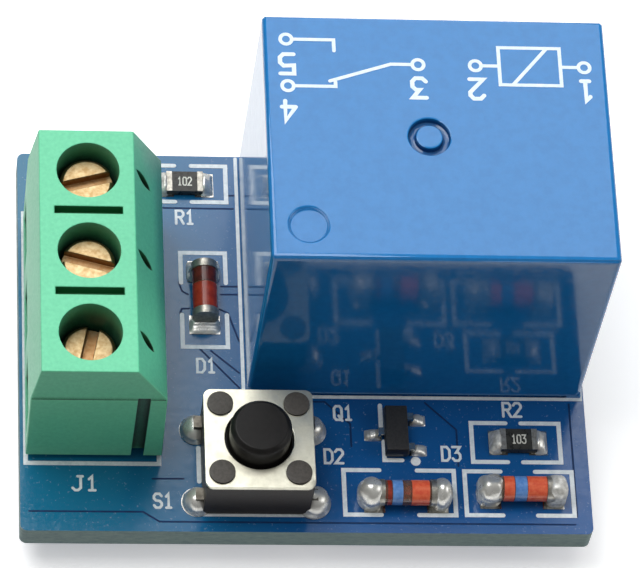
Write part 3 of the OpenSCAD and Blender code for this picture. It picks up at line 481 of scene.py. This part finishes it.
relay_line_x, relay_line_y = relay_low.x - 0.17, relay_low.y - 0.1
print_line([(relay_line_x, board_high.y - 0.15), (relay_line_x, relay_line_y),
            (relay_high.x + 0.02, relay_line_y), (relay_high.x + 0.08, relay_low.y + 1.2)],
           relay_line_w)
cover_low, cover_high = corners("switch_cover")
button_line_x, button_line_y = cover_low.x - 0.05, board_low.y + 1.07
print_line([(cover_low.x - 0.2, button_line_y), (cover_high.x + 0.16, button_line_y)])
print_line([(button_line_x, cover_low.y + 2.1), (button_line_x, cover_high.y - 1.9)])

GLYPHS = {  # strokes on a field 4 wide and 6 high
    "0": [[(0, 2), (0, 5), (1, 6), (3, 6), (4, 5), (4, 1), (3, 0), (1, 0), (0, 1), (0, 2)]],
    "1": [[(0.8, 4.8), (2, 6), (2, 0)], [(0.8, 0), (3.2, 0)]],
    "2": [[(0, 5), (1, 6), (3, 6), (4, 5), (4, 4), (0, 0), (4, 0)]],
    "3": [[(0, 6), (4, 6), (2, 3.6), (3, 3.6), (4, 2.6), (4, 1), (3, 0), (1, 0), (0, 1)]],
    "4": [[(3, 0), (3, 6), (0, 1.8)], [(0, 1.8), (4, 1.8)]],
    "5": [[(4, 6), (0, 6), (0, 3.4), (3, 3.6), (4, 2.6), (4, 1), (3, 0), (0, 0)]],
    "D": [[(0, 0), (0, 6), (2.6, 6), (4, 4.6), (4, 1.4), (2.6, 0), (0, 0)]],
    "J": [[(2, 6), (4, 6)], [(3.2, 6), (3.2, 1), (2.2, 0), (1, 0), (0, 1)]],
    "Q": [[(0, 2), (0, 5), (1, 6), (3, 6), (4, 5), (4, 1), (3, 0), (1, 0), (0, 1), (0, 2)],
          [(2.4, 1.8), (4.2, -0.4)]],
    "R": [[(0, 0), (0, 6), (3, 6), (4, 5), (4, 4), (3, 3)], [(3, 3), (0, 3)], [(2, 3), (4, 0)]],
    "S": [[(4, 5), (3, 6), (1, 6), (0, 5), (0, 4), (1, 3.1), (3, 2.9), (4, 2), (4, 1), (3, 0),
           (1, 0), (0, 1)]],
}
glyph_pitch, layer_t = 1.42, 0.002


def mark(shape, text, centre, glyph_w, glyph_h, stroke, bottom, turn=0, depth=ink_t):
    """Plain stroke letters or digits, centred on a point and turned about it; strokes that cross
    lie on each other in thin layers."""
    step = glyph_w * glyph_pitch
    spin = Matrix.Rotation(math.radians(turn), 2)
    for i, letter in enumerate(text):
        start = Vector(((i - len(text) / 2) * step + (step - glyph_w) / 2, -glyph_h / 2))
        for k, line in enumerate(GLYPHS[letter]):
            points = [Vector(centre) + spin @ (start + Vector((x / 4 * glyph_w, y / 6 * glyph_h)))
                      for x, y in line]
            closed = len(points) > 3 and (points[0] - points[-1]).length < 1e-6
            ribbon(shape, points[:-1] if closed else points, stroke, bottom, depth + k * layer_t,
                   closed)


letter_w, letter_h, letter_stroke = 0.42, 0.86, 0.15
board_marks = [  # text, width against the others, node, place of its middle from the node's
    ("J1", 1.35, "terminal_housing", (-0.5, -9.34)), ("S1", 1, "switch_cover", (-5.14, -2.16)),
    ("R1", 1, "resistor_1_body", (-0.01, -2.11)), ("D1", 1, "diode_1_glass", (0.02, -4.38)),
    ("Q1", 1, "transistor_body", (-2.88, 1.41)), ("D2", 1, "diode_2_glass", (-3.92, 2.65)),
    ("D3", 1, "diode_3_glass", (-3.83, 2.57)), ("R2", 1, "resistor_2_body", (-0.2, 2.12)),
]
for text, wide, node, (dx, dy) in board_marks:
    at_x, at_y, _ = middle(node)
    mark(print_shape, text, (at_x + dx, at_y + dy), letter_w * wide, letter_h, letter_stroke,
         board_top)
slab(print_shape, circle(chip_x + 1.09, chip_y - 1.6, dot_r, dot_steps), board_top, ink_t)
# White epoxy ink: matt, and greyer where the screen left it thin.
white_ink = plain("white_epoxy_ink", "#E9EEF0", 0.55, 0.25, other="#C9D3D8", contrast=0.5, IOR=1.5)
piece("board_print", print_shape, white_ink)


# ---- Pads and solder ----
# Tinned copper pads, with tin-lead solder that was heated and set bright: it stands in balls
# on the glass diodes' ends, in slopes on the flat parts and in cones round the leads.

# Copper tinned in a hot bath: bright, with slow ripples.
tinned = plain("hot_tinned_copper", "#D2D1CB", 0.2, 0.35, other="#A4A39C", metallic=1, bump=0.006)
# Tin-lead solder: pale, with soft highlights. A little of its white flux is mixed in.
solder = plain("tin_lead_solder", "#E4E3DD", 0.3, 0.6, other="#CBCAC3", metallic=0.65, bump=0.012,
               rough_spread=0.06)
# The same where it set slowly and was disturbed: dull and lumpy.
dull_solder = plain("dull_lumpy_solder", "#E2E1DB", 0.45, 0.3, other="#B2B1AB", metallic=0.45,
                    bump=0.04, rough_spread=0.1)
finish_with(tinned, "solder_pads")


# Without a seed the noise starts from the clock, and the lumps differ on each run.
lump_seed = 1795458049
noise.seed_set(lump_seed)


def wobble(point, size, amount, seed):
    """Moves a point a little, the same way on every run."""
    return point + noise.noise_vector(point / size + Vector((seed * 7.3, seed * 3.1, seed))) * amount


def ball(shape, centre, rx, ry, rise, seed, lump=0.05, cut=38, finish=0, square=1.0):
    """Solder that drew itself into a ball and wets its pad with a narrower foot, where cut is the
    angle at which its sides meet it; below 1, square fills out the ball's corners."""
    rings, turns = 14, 32
    lump_size, foot_flare, flare_rings = 0.6, 0.12, 2
    foot = math.radians(cut)
    tall = rise / (1 + math.sin(foot))
    loops = []
    for i in range(rings):
        a = -foot + (math.pi / 2 + foot) * i / rings
        flare = foot_flare * max(0, 1 - i / flare_rings)
        loop = []
        for k in range(turns):
            t = math.tau * k / turns
            out_x, out_y = [math.copysign(abs(f) ** square, f) for f in (math.cos(t), math.sin(t))]
            reach = max(math.cos(a), 0) ** square + flare
            spot = Vector((rx * reach * out_x, ry * reach * out_y,
                           tall * (math.sin(a) + math.sin(foot))))
            moved = wobble(spot, lump_size, lump if i else 0, seed)
            loop.append(shape.verts.new(Vector(centre) + moved))
        loops.append(loop)
    tip = shape.verts.new(Vector(centre) + Vector((0, 0, rise)))
    faces = [shape.faces.new(loops[0])]
    for lower, upper in zip(loops, loops[1:]):
        faces += [shape.faces.new((lower[k - 1], lower[k], upper[k], upper[k - 1]))
                  for k in range(turns)]
    faces += [shape.faces.new((loops[-1][k - 1], loops[-1][k], tip)) for k in range(turns)]
    for face in faces:
        face.material_index = finish


def heap(shape, centre, turn, x0, x1, half_w, heights, seed, lump=0.03, finish=0):
    """A slope of solder from x0 to x1; heights are those of its ridge at equal steps."""
    along, across = 18, 14
    lump_size, narrowing, film = 0.45, 0.12, 0.004
    spin = Matrix.Rotation(math.radians(turn), 3, "Z")
    rows = []
    for i in range(along + 1):
        u = i / along
        place = min(u * (len(heights) - 1), len(heights) - 1.0001)
        k = int(place)
        f = place - k
        f = f * f * (3 - 2 * f)
        ridge = heights[k] * (1 - f) + heights[k + 1] * f
        ridge *= min(1, 6 * u * (1 - u) + 0.02) ** 0.5 if 0 < u < 1 else 0
        row = []
        for j in range(across + 1):
            v = 2 * j / across - 1
            z = ridge * (1 - abs(v) ** 3) ** 0.45 if abs(v) < 1 else 0
            narrow = 1 - narrowing * (2 * u - 1) ** 4
            spot = Vector((x0 + (x1 - x0) * u, v * half_w * narrow, z))
            moved = wobble(spot, lump_size, lump, seed) if z > 0 else spot
            moved.z = max(moved.z, film) if z > 0 else 0
            row.append(shape.verts.new(Vector(centre) + spin @ moved))
        rows.append(row)
    faces = [shape.faces.new((a[j], b[j], b[j + 1], a[j + 1]))
             for a, b in zip(rows, rows[1:]) for j in range(across)]
    rim = rows[0] + [row[-1] for row in rows[1:-1]]
    rim += rows[-1][::-1] + [row[0] for row in rows[-2:0:-1]]
    faces.append(shape.faces.new(rim))
    for face in faces:
        face.material_index = finish


pad_top = max(high.z for low, high in solids("solder_pads"))
joints = bmesh.new()
ball_joints = [  # caps, their end, distance past it, half width along and across, height, seed, form
    ("diode_2_caps", -1, 0.25, 0.82, 0.87, 1.78, 1, {}),
    ("diode_2_caps", 1, 0.2, 0.64, 0.85, 1.74, 2, {}),
    ("diode_3_caps", -1, 0.1, 0.76, 0.8, 1.7, 3, {"lump": 0.14, "square": 0.75}),
    ("diode_3_caps", 1, 0.16, 0.6, 0.78, 1.6, 4, {"lump": 0.06, "finish": 1, "square": 0.6}),
]
for node, end, past, rx, ry, rise, seed, form in ball_joints:
    cap_low, cap_high = corners(node)
    end_x = cap_low.x - past if end < 0 else cap_high.x + past
    ball(joints, (end_x, (cap_low.y + cap_high.y) / 2, pad_top), rx, ry, rise, seed, **form)

# The first diode lies front to back. Its rear joint climbs the cap; its front one stays flat.
cap_low, cap_high = corners("diode_1_caps")
cap_middle = ((cap_low.x + cap_high.x) / 2, (cap_low.y + cap_high.y) / 2, pad_top)
heap(joints, cap_middle, 90, 1.0, 2.34, 0.97, [0.3, 0.8, 1.25, 1.1, 0.5, 0.2, 0.05], seed=5)
heap(joints, cap_middle, -90, 1.38, 2.34, 0.88, [0.3, 0.34, 0.26, 0.18, 0.12, 0.05], seed=6)

# Each resistor's right joint set bright and its left one dull.
under_cap, past_cap, joint_half_w = 0.16, 0.6, 0.72
for k, node in enumerate(("resistor_1_caps", "resistor_2_caps")):
    cap_low, cap_high = corners(node)
    cap_middle = ((cap_low.x + cap_high.x) / 2, (cap_low.y + cap_high.y) / 2, pad_top)
    cap_end = (cap_high.x - cap_low.x) / 2
    for side, turn in enumerate((0, 180)):
        heap(joints, cap_middle, turn, cap_end - under_cap, cap_end + past_cap, joint_half_w,
             [0.34, 0.58, 0.6, 0.52, 0.4, 0.28, 0.1], seed=8 + 2 * k + side, lump=0.05,
             finish=side)

# The transistor's joints cover each foot and run out over the mask.
under_foot, past_foot, foot_half_w = 0.42, 0.5, 0.35
for k, (low, high) in enumerate(solids("transistor_leads")):
    on_right = low.x > chip_x
    foot_end = (high.x if on_right else low.x, (low.y + high.y) / 2, board_top)
    heap(joints, foot_end, 0 if on_right else 180, -under_foot, past_foot, foot_half_w,
         [0.16, 0.32, 0.38, 0.3, 0.2, 0.1], seed=14 + k, lump=0.05)
piece("reflowed_joints", joints, [solder, dull_solder], nodes=["chip_solder"])


def lathe(shape, centre, profile, turns=40, seed=None, lump=0.0):
    """Turns a profile of (radius, height) about an upright axis; both ends are closed."""
    lump_size = 0.5
    loops = []
    for radius, z in profile:
        spots = [Vector((x, y, z)) for x, y in circle(0, 0, radius, turns)]
        if seed is not None:
            spots = [wobble(spot, lump_size, lump, seed) for spot in spots]
        loops.append([shape.verts.new(Vector(centre) + spot) for spot in spots])
    shape.faces.new(loops[0])
    shape.faces.new(loops[-1])
    for lower, upper in zip(loops, loops[1:]):
        for k in range(turns):
            shape.faces.new((lower[k - 1], lower[k], upper[k], upper[k - 1]))


cones = bmesh.new()
cone_steps, cone_curve = 8, 2.3
ring_w, lead_gap, tip_rise, sunk = 0.45, 0.1, 0.05, 0.01
for k, (low, high) in enumerate(solids("hole_solder")):
    foot_r = (high.x - low.x) / 2
    tall = board_bottom - low.z
    tip_r = foot_r - ring_w - lead_gap
    side = [(tip_r + (foot_r - tip_r) * (1 - i / cone_steps) ** cone_curve, -tall * i / cone_steps)
            for i in range(cone_steps + 1)]
    profile = side + [(tip_r * 0.6, -tall - tip_rise)]
    cone_middle = ((low.x + high.x) / 2, (low.y + high.y) / 2, board_bottom - sunk)
    lathe(cones, cone_middle, profile[::-1], seed=20 + k, lump=0.04)
piece("wave_soldered_cones", cones, solder, nodes=["hole_solder"])

domes = bmesh.new()
button_x = (cover_low.x + cover_high.x) / 2
dome_in, dome_squash = 0.78, 0.95
dome_sizes = [(0.8, 0.95), (0.84, 0.8), (0.92, 1.1), (0.84, 0.9)]  # radius, height
for k, (low, high) in enumerate(solids("switch_solder")):
    dome_x = low.x + dome_in if low.x < button_x else high.x - dome_in
    radius, rise = dome_sizes[k]
    ball(domes, (dome_x, (low.y + high.y) / 2, low.z), radius * dome_squash, radius, rise,
         seed=40 + k, cut=8, lump=0.05)
piece("button_leg_joints", domes, solder, nodes=["switch_solder"])


# ---- Screw terminal block ----
# One moulding of green polyamide that stands on small feet, with a plated cage in each
# chamber. A brass-coloured screw turns in the cage's top and presses a clamp on the wire.

def softened(name, node, edge, material, sharp=34, rings=2, crease=30, above=-1):
    """A copy of a CAD node whose sharp edges above a height are rounded; the node is hidden."""
    shape = bmesh.new()
    shape.from_mesh(cad_nodes[node].data)
    bmesh.ops.scale(shape, vec=(1 / MM, 1 / MM, 1 / MM), verts=shape.verts)
    bmesh.ops.remove_doubles(shape, verts=shape.verts, dist=1e-4)
    bmesh.ops.dissolve_limit(shape, angle_limit=math.radians(0.5), verts=shape.verts,
                             edges=shape.edges)
    edges = [e for e in shape.edges if len(e.link_faces) == 2
             and e.calc_face_angle() > math.radians(sharp) and min(v.co.z for v in e.verts) > above]
    bmesh.ops.bevel(shape, geom=edges, offset=edge, offset_type="OFFSET", segments=rings, profile=0.5,
                    affect="EDGES", clamp_overlap=False)
    made = piece(name, shape, material, cad_nodes[node]["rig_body"], [node], crease)
    flats = made.modifiers.new("flat_faces_stay_flat", "WEIGHTED_NORMAL")
    flats.weight = 100
    flats.keep_sharp = True
    return made


# Glass-filled polyamide, moulded: half matt with a fine grain. Its narrow places are painted dark green
# as shade,
# # and painted nearly black as shade further down.
# Heights between which the painted shade in the chambers goes from dark green to nearly black.
shade_deepens_below_z, darkest_shade_below_z = block_high.z - 0.7, block_high.z - 1.5
polyamide = plain("green_glass_filled_polyamide", "#6ED5A7", 0.42, 0.22, other="#64C99B", bump=0.004,
                  contrast=0.5, recess_shade="#206E3E", recess_mm=3, open_from=(0.62, 0.96), deep_shade="#0C2A15",
                  deep_shade_z=(darkest_shade_below_z, shade_deepens_below_z), IOR=1.53, **{"Specular IOR Level": 0.38})
softened("moulded_terminal_block", "terminal_housing", 0.07, polyamide)

# Brass, turned and slotted: a soft warm sheen, with painted brown shade inside the slot.
brass = plain("turned_screw_brass", "#BEAA84", 0.42, 0.3, other="#A88B60", metallic=1, bump=0.006,
              recess_shade="#9C6434", recess_mm=0.7)
for i in (1, 2, 3):
    softened(f"slotted_screw_{i}", f"terminal_screw_{i}", 0.05, brass)
# Nickel over brass: smooth and warm. Zinc over stamped steel: grey and satin.
clamp_brass = plain("nickel_plated_brass", "#D9CDB4", 0.3, 0.25, other="#B9AC92", metallic=1)
finish_with(clamp_brass, "wire_clamp_1", "wire_clamp_2", "wire_clamp_3")
plated = plain("zinc_plated_steel", "#A9AAAB", 0.34, 0.3, other="#C9CACB", metallic=1)
finish_with(plated, "terminal_cage_1", "terminal_cage_2", "terminal_cage_3")


# ---- Relay ----
# A sealed power relay: a glossy blue polyester case over a base plate that is potted with
# resin. The coil, the armature and the contacts inside it don't show.

# Polyester from a polished mould: an even blue with clear reflections, and painted darker shade in its
# recessed marks.
polyester = plain("blue_polyester_moulding", "#1878BC", 0.1, 0.5, other="#1472B4", rough_spread=0.03,
                  bump=0.002, recess_shade="#0F2F63", recess_mm=0.7, IOR=1.5)
rim_depth = 0.6
softened("moulded_relay_case", "relay_case", 0.12, polyester, sharp=50,
         above=relay_high.z - rim_depth)

relay_mid = Vector(((relay_low.x + relay_high.x) / 2, (relay_low.y + relay_high.y) / 2))
case_top = relay_high.z
case_ink_t, thin, digit_w, digit_h, digit_stroke = 0.012, 0.2, 0.75, 1.25, 0.24
ring_r, ring_steps = 0.32, 20
diagram = bmesh.new()


def case_line(points, closed=False, layer=0):
    """A line of the contact diagram, which is read from the module's far side."""
    ribbon(diagram, [relay_mid - Vector(point) for point in points], thin, case_top,
           case_ink_t + layer * layer_t, closed)


def contact_point(x, y, digit, digit_y):
    """A ring for one pin, with the pin's plain number beside it."""
    case_line(circle(x, y, ring_r, ring_steps), closed=True)
    mark(diagram, digit, relay_mid - Vector((x, digit_y)), digit_w, digit_h, digit_stroke, case_top,
         180, case_ink_t)


row = -4.6
coil_left, coil_right, coil_half = -6.9, -3.5, 1.2
case_line([(coil_left, row - coil_half), (coil_left, row + coil_half),
           (coil_right, row + coil_half), (coil_right, row - coil_half)], closed=True)
case_line([(-6.2, row - coil_half), (-4.2, row + coil_half)], layer=1)
case_line([(-7.9, row), (coil_left, row)], layer=1)
case_line([(coil_right, row), (-2.5, row)], layer=1)
contact_point(-8.22, row, "1", row + 1.5)
contact_point(-2.18, row, "2", row + 1.5)
contact_point(1.0, row, "3", row + 1.5)
case_line([(1.32, row), (2.5, row), (5.9, row + 1.15)], layer=1)
case_line([(7.9, row + 1.5), (5.6, row + 1.5), (5.6, row + 1.2)], layer=2)
case_line([(7.9, row - 1.5), (5.6, row - 1.5), (5.6, row - 0.8)], layer=2)
contact_point(8.22, row + 1.5, "4", row + 3.1)
contact_point(8.22, row - 1.5, "5", row + 0.1)
# Ink pressed on with a soft pad: so thin that the blue tints it.
case_ink = plain("white_pad_printed_ink", "#E6F1F8", 0.45, 0.3, other="#CFE2F0", contrast=0.5, IOR=1.5)
piece("relay_contact_diagram", diagram, case_ink)

# Below and inside: satin polyester, glossy resin that set level, varnished copper wire, dull
# annealed iron, rolled spring copper, silver rivets and tinned pins.
finish_with(plain("blue_base_plate", "#2A6FB6", 0.35, 0.3, other="#2667AA"), "relay_base")
finish_with(plain("potting_epoxy", "#26303A", 0.22, 0.8, other="#1E262E", bump=0.02), "relay_resin")
finish_with(plain("white_bobbin_polyester", "#E4E0D3", 0.4, 0.3, other="#D8D3C4"), "relay_bobbin")
finish_with(plain("enamelled_copper_winding", "#B4562A", 0.3, 0.12, other="#8E3F1C", bump=0.03),
            "relay_coil")
finish_with(plain("annealed_soft_iron", "#8C8D8E", 0.35, 0.3, other="#A5A6A8", metallic=1),
            "relay_core", "relay_yoke", "relay_armature")
finish_with(plain("spring_copper", "#C98D6B", 0.28, 0.3, other="#B67C5B", metallic=1),
            "relay_contact_leaf")
finish_with(plain("contact_silver", "#D9D8D6", 0.25, 0.2, other="#C4C3C0", metallic=1),
            "relay_moving_contact", "relay_fixed_contacts")
finish_with(plain("tinned_terminal_copper", "#CFC9BD", 0.3, 0.3, other="#B5AFA2", metallic=1),
            "relay_make_terminal", "relay_break_terminal", "relay_common_terminal",
            "relay_coil_pins")


# ---- Push button ----
# A 6 mm tactile switch: a black base, a nickel-plated sheet cover that is riveted with four
# moulded posts, a snap dome and a round plunger that stands up through the cover.

# Nickel over rolled steel: a pale, slightly yellow satin.
nickel = plain("brushed_nickel_on_steel", "#DEDBC9", 0.36, 0.6, other="#CBC8B6", metallic=1)
softened("switch_cover_plate", "switch_cover", 0.04, nickel)
# Phenolic resin, pressed hot: black, with a faint grain and little gloss.
phenolic = plain("black_phenolic_moulding", "#2A2623", 0.4, 0.2, other="#332E2A", bump=0.006, IOR=1.5,
                 **{"Specular IOR Level": 0.2})
finish_with(phenolic, "switch_base")

base_data = cad_nodes["switch_base"].data
base_top = max(v.co.z for v in base_data.vertices)
post_rims = [v.co.to_2d() / MM for v in base_data.vertices if v.co.z > base_top - 1e-6]
button_mid = Vector((button_x, (cover_low.y + cover_high.y) / 2))
post_heads = bmesh.new()
head_over, head_sunk, head_turns = 0.02, 0.02, 32
for side_x in (-1, 1):
    for side_y in (-1, 1):
        rim = [p for p in post_rims
               if (p.x - button_mid.x) * side_x > 0 and (p.y - button_mid.y) * side_y > 0]
        rim_x, rim_y = [[pick(p[axis] for p in rim) for pick in (min, max)] for axis in (0, 1)]
        post_r = (rim_x[1] - rim_x[0]) / 2
        lathe(post_heads, (sum(rim_x) / 2, sum(rim_y) / 2, base_top / MM - head_sunk),
              [(post_r + head_over, 0), (post_r + head_over, 0.03), (post_r * 0.85, 0.05),
               (post_r * 0.4, 0.06)], turns=head_turns)
# The same resin where the hot tool spread it: greyer and rougher.
melted = plain("heat_formed_phenolic", "#4C4843", 0.5, 0.15, other="#423E3A", bump=0.01, IOR=1.5,
               **{"Specular IOR Level": 0.3})
piece("heat_formed_posts", post_heads, melted)
# Black plastic from a spark-eroded mould: soft, broad highlights.
knob = plain("black_button_plastic", "#121110", 0.42, 0.3, other="#181615", bump=0.004, IOR=1.48,
             **{"Specular IOR Level": 0.22})
softened("round_plunger", "switch_plunger", 0.16, knob, rings=4)

# The dome is pressed from stainless spring sheet, bright from rolling. It flattens as the
# plunger's stem goes down.
dome_low, dome_high = corners("switch_dome")
dome_mid = (dome_low + dome_high) / 2
dome_t, dome_steps, dome_hole = 0.1, 10, 0.05
dome_r = (dome_high.x - dome_low.x) / 2
dome_rise = dome_high.z - dome_low.z - dome_t
crown = [(max(dome_r * i / dome_steps, dome_hole), dome_rise * (1 - (i / dome_steps) ** 2))
         for i in range(dome_steps + 1)]
dome_shape = bmesh.new()
lathe(dome_shape, (dome_mid.x, dome_mid.y, dome_low.z),
      crown + [(r, z + dome_t) for r, z in crown[::-1]])
stainless = plain("stainless_snap_dome", "#C7C7C5", 0.2, 0.4, other="#B5B5B3", metallic=1)
snap_dome = piece("pressed_snap_dome", dome_shape, stainless, nodes=["switch_dome"])
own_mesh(snap_dome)
# Silver over copper: coloured dark grey.
finish_with(plain("silver_plated_legs", "#77736A", 0.38, 0.3, other="#57534C", metallic=1),
            "switch_legs")


# ---- Chip resistors ----
# White ceramic with a black resistive film on top, closed under glass, a printed value and
# wrapped tin end caps.

# Black glass glaze over the film: smooth, with a faint mottle.
film = plain("black_resistor_glaze", "#2B2B28", 0.3, 0.3, other="#3A3A36", IOR=1.5,
             **{"Specular IOR Level": 0.3})
finish_with(film, "resistor_1_body", "resistor_2_body")
# Tin plated in a barrel: satin and a little uneven. The diodes' caps have it too.
cap_tin = plain("end_cap_tin", "#B5B2A8", 0.36, 0.2, other="#8E8B83", metallic=0.8, bump=0.01)
finish_with(cap_tin, "resistor_1_caps", "resistor_2_caps", "diode_1_caps", "diode_2_caps",
            "diode_3_caps")
# Ink printed on the glaze and baked: matt white.
code_ink = plain("white_code_ink", "#DCDCD2", 0.5, 0.2, other="#BFBFB5")
code_w, code_h, code_stroke, code_t = 0.2, 0.52, 0.075, 0.01
for text, node in (("102", "resistor_1_body"), ("103", "resistor_2_body")):
    at_x, at_y, _ = middle(node)
    code_shape = bmesh.new()
    mark(code_shape, text, (at_x, at_y), code_w, code_h, code_stroke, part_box(node)[1].z / MM,
         depth=code_t)
    piece(node.replace("body", "code"), code_shape, code_ink)


# ---- Glass diodes ----
# A tube of glass melted onto two copper-clad studs with a chip between them, tinned caps on
# its ends, and bands of paint.

def diode_glass():
    """Soft lead glass, drawn as a tube: clear and smooth, with a warm tint from the copper."""
    material, tree = new_material("diode_glass")
    swirl_mm = 0.5
    where = add(tree, "TexCoord")
    swirl = add(tree, "TexNoise", {"Vector": where.outputs["Object"], "Scale": 1 / (swirl_mm * MM),
                                   "Detail": 2})
    tone = add(tree, "Mix", {0: swirl.outputs["Fac"], 6: linear("#F3C9A8"), 7: linear("#E8A988")},
               data_type="RGBA")
    glass = add(tree, "BsdfPrincipled", {"Base Color": tone.outputs[2], "Roughness": 0.04,
                                         "IOR": 1.5, "Transmission Weight": 0.9})
    add(tree, "OutputMaterial", {"Surface": glass.outputs[0]})
    return material


finish_with(diode_glass(), "diode_1_glass", "diode_2_glass", "diode_3_glass")
# Copper that oxidised red while the glass was melted onto it.
clad_stud = plain("copper_clad_stud", "#A8301C", 0.3, 0.25, other="#7E2216", metallic=0.5)
finish_with(clad_stud, "diode_1_studs", "diode_2_studs", "diode_3_studs")

paints = {  # baked enamels, rolled on: glossy, with a slightly uneven film
    "orange": plain("orange_red_band_paint", "#D75438", 0.2, 0.3, other="#E46E49", IOR=1.5),
    "blue": plain("blue_band_paint", "#4F80C2", 0.2, 0.3, other="#6C98D4", IOR=1.5),
    "brown": plain("red_brown_band_paint", "#84291A", 0.16, 0.4, other="#A03822", IOR=1.5),
    "dark": plain("dark_brown_band_paint", "#421A14", 0.16, 0.4, other="#5E241A", IOR=1.5),
}
bands = {  # paint, ends along the diode from its middle
    "diode_1": [("brown", -1.28, 0.3), ("dark", 0.34, 1.28)],
    "diode_2": [("brown", -1.16, -0.92), ("blue", -0.88, -0.3), ("orange", 0.2, 1.2)],
    "diode_3": [("orange", -1.15, -0.56), ("blue", -0.53, 0.15), ("orange", 0.17, 1.28)],
}
band_t, band_sunk, band_slope, band_turns = 0.012, 0.004, 0.02, 40
for diode, rows in bands.items():
    glass_low, glass_high = corners(f"{diode}_glass")
    front_to_back = glass_high.y - glass_low.y > glass_high.x - glass_low.x
    radius = (glass_high.z - glass_low.z) / 2
    inner_r, outer_r = radius - band_sunk, radius + band_t
    axis = Matrix.Translation((glass_low + glass_high) / 2) @ Matrix.Rotation(
        math.radians(90 if front_to_back else 0), 4, "Z") @ Matrix.Rotation(math.radians(90), 4, "Y")
    for k, (paint, x0, x1) in enumerate(rows):
        shape = bmesh.new()
        profile = [(inner_r, x0), (outer_r, x0 + band_slope), (outer_r, x1 - band_slope), (inner_r, x1)]
        loops = [[shape.verts.new((x, y, along)) for x, y in circle(0, 0, r, band_turns)]
                 for r, along in profile]
        for m, loop in enumerate(loops):
            for j in range(band_turns):
                shape.faces.new((loops[m - 1][j - 1], loops[m - 1][j], loop[j], loop[j - 1]))
        bmesh.ops.transform(shape, matrix=axis, verts=shape.verts)
        piece(f"{diode}_{paint}_band_{k + 1}", shape, paints[paint])


# ---- Transistor ----
# A small-outline transistor: a black epoxy body with drafted sides and three tinned legs.

# Moulding epoxy, filled with silica: matt black with a sandy grain.
epoxy = plain("black_moulding_epoxy", "#1B1A1A", 0.42, 0.12, other="#282726", bump=0.01, IOR=1.5)
softened("transistor_moulding", "transistor_body", 0.04, epoxy)
finish_with(tinned, "transistor_leads")
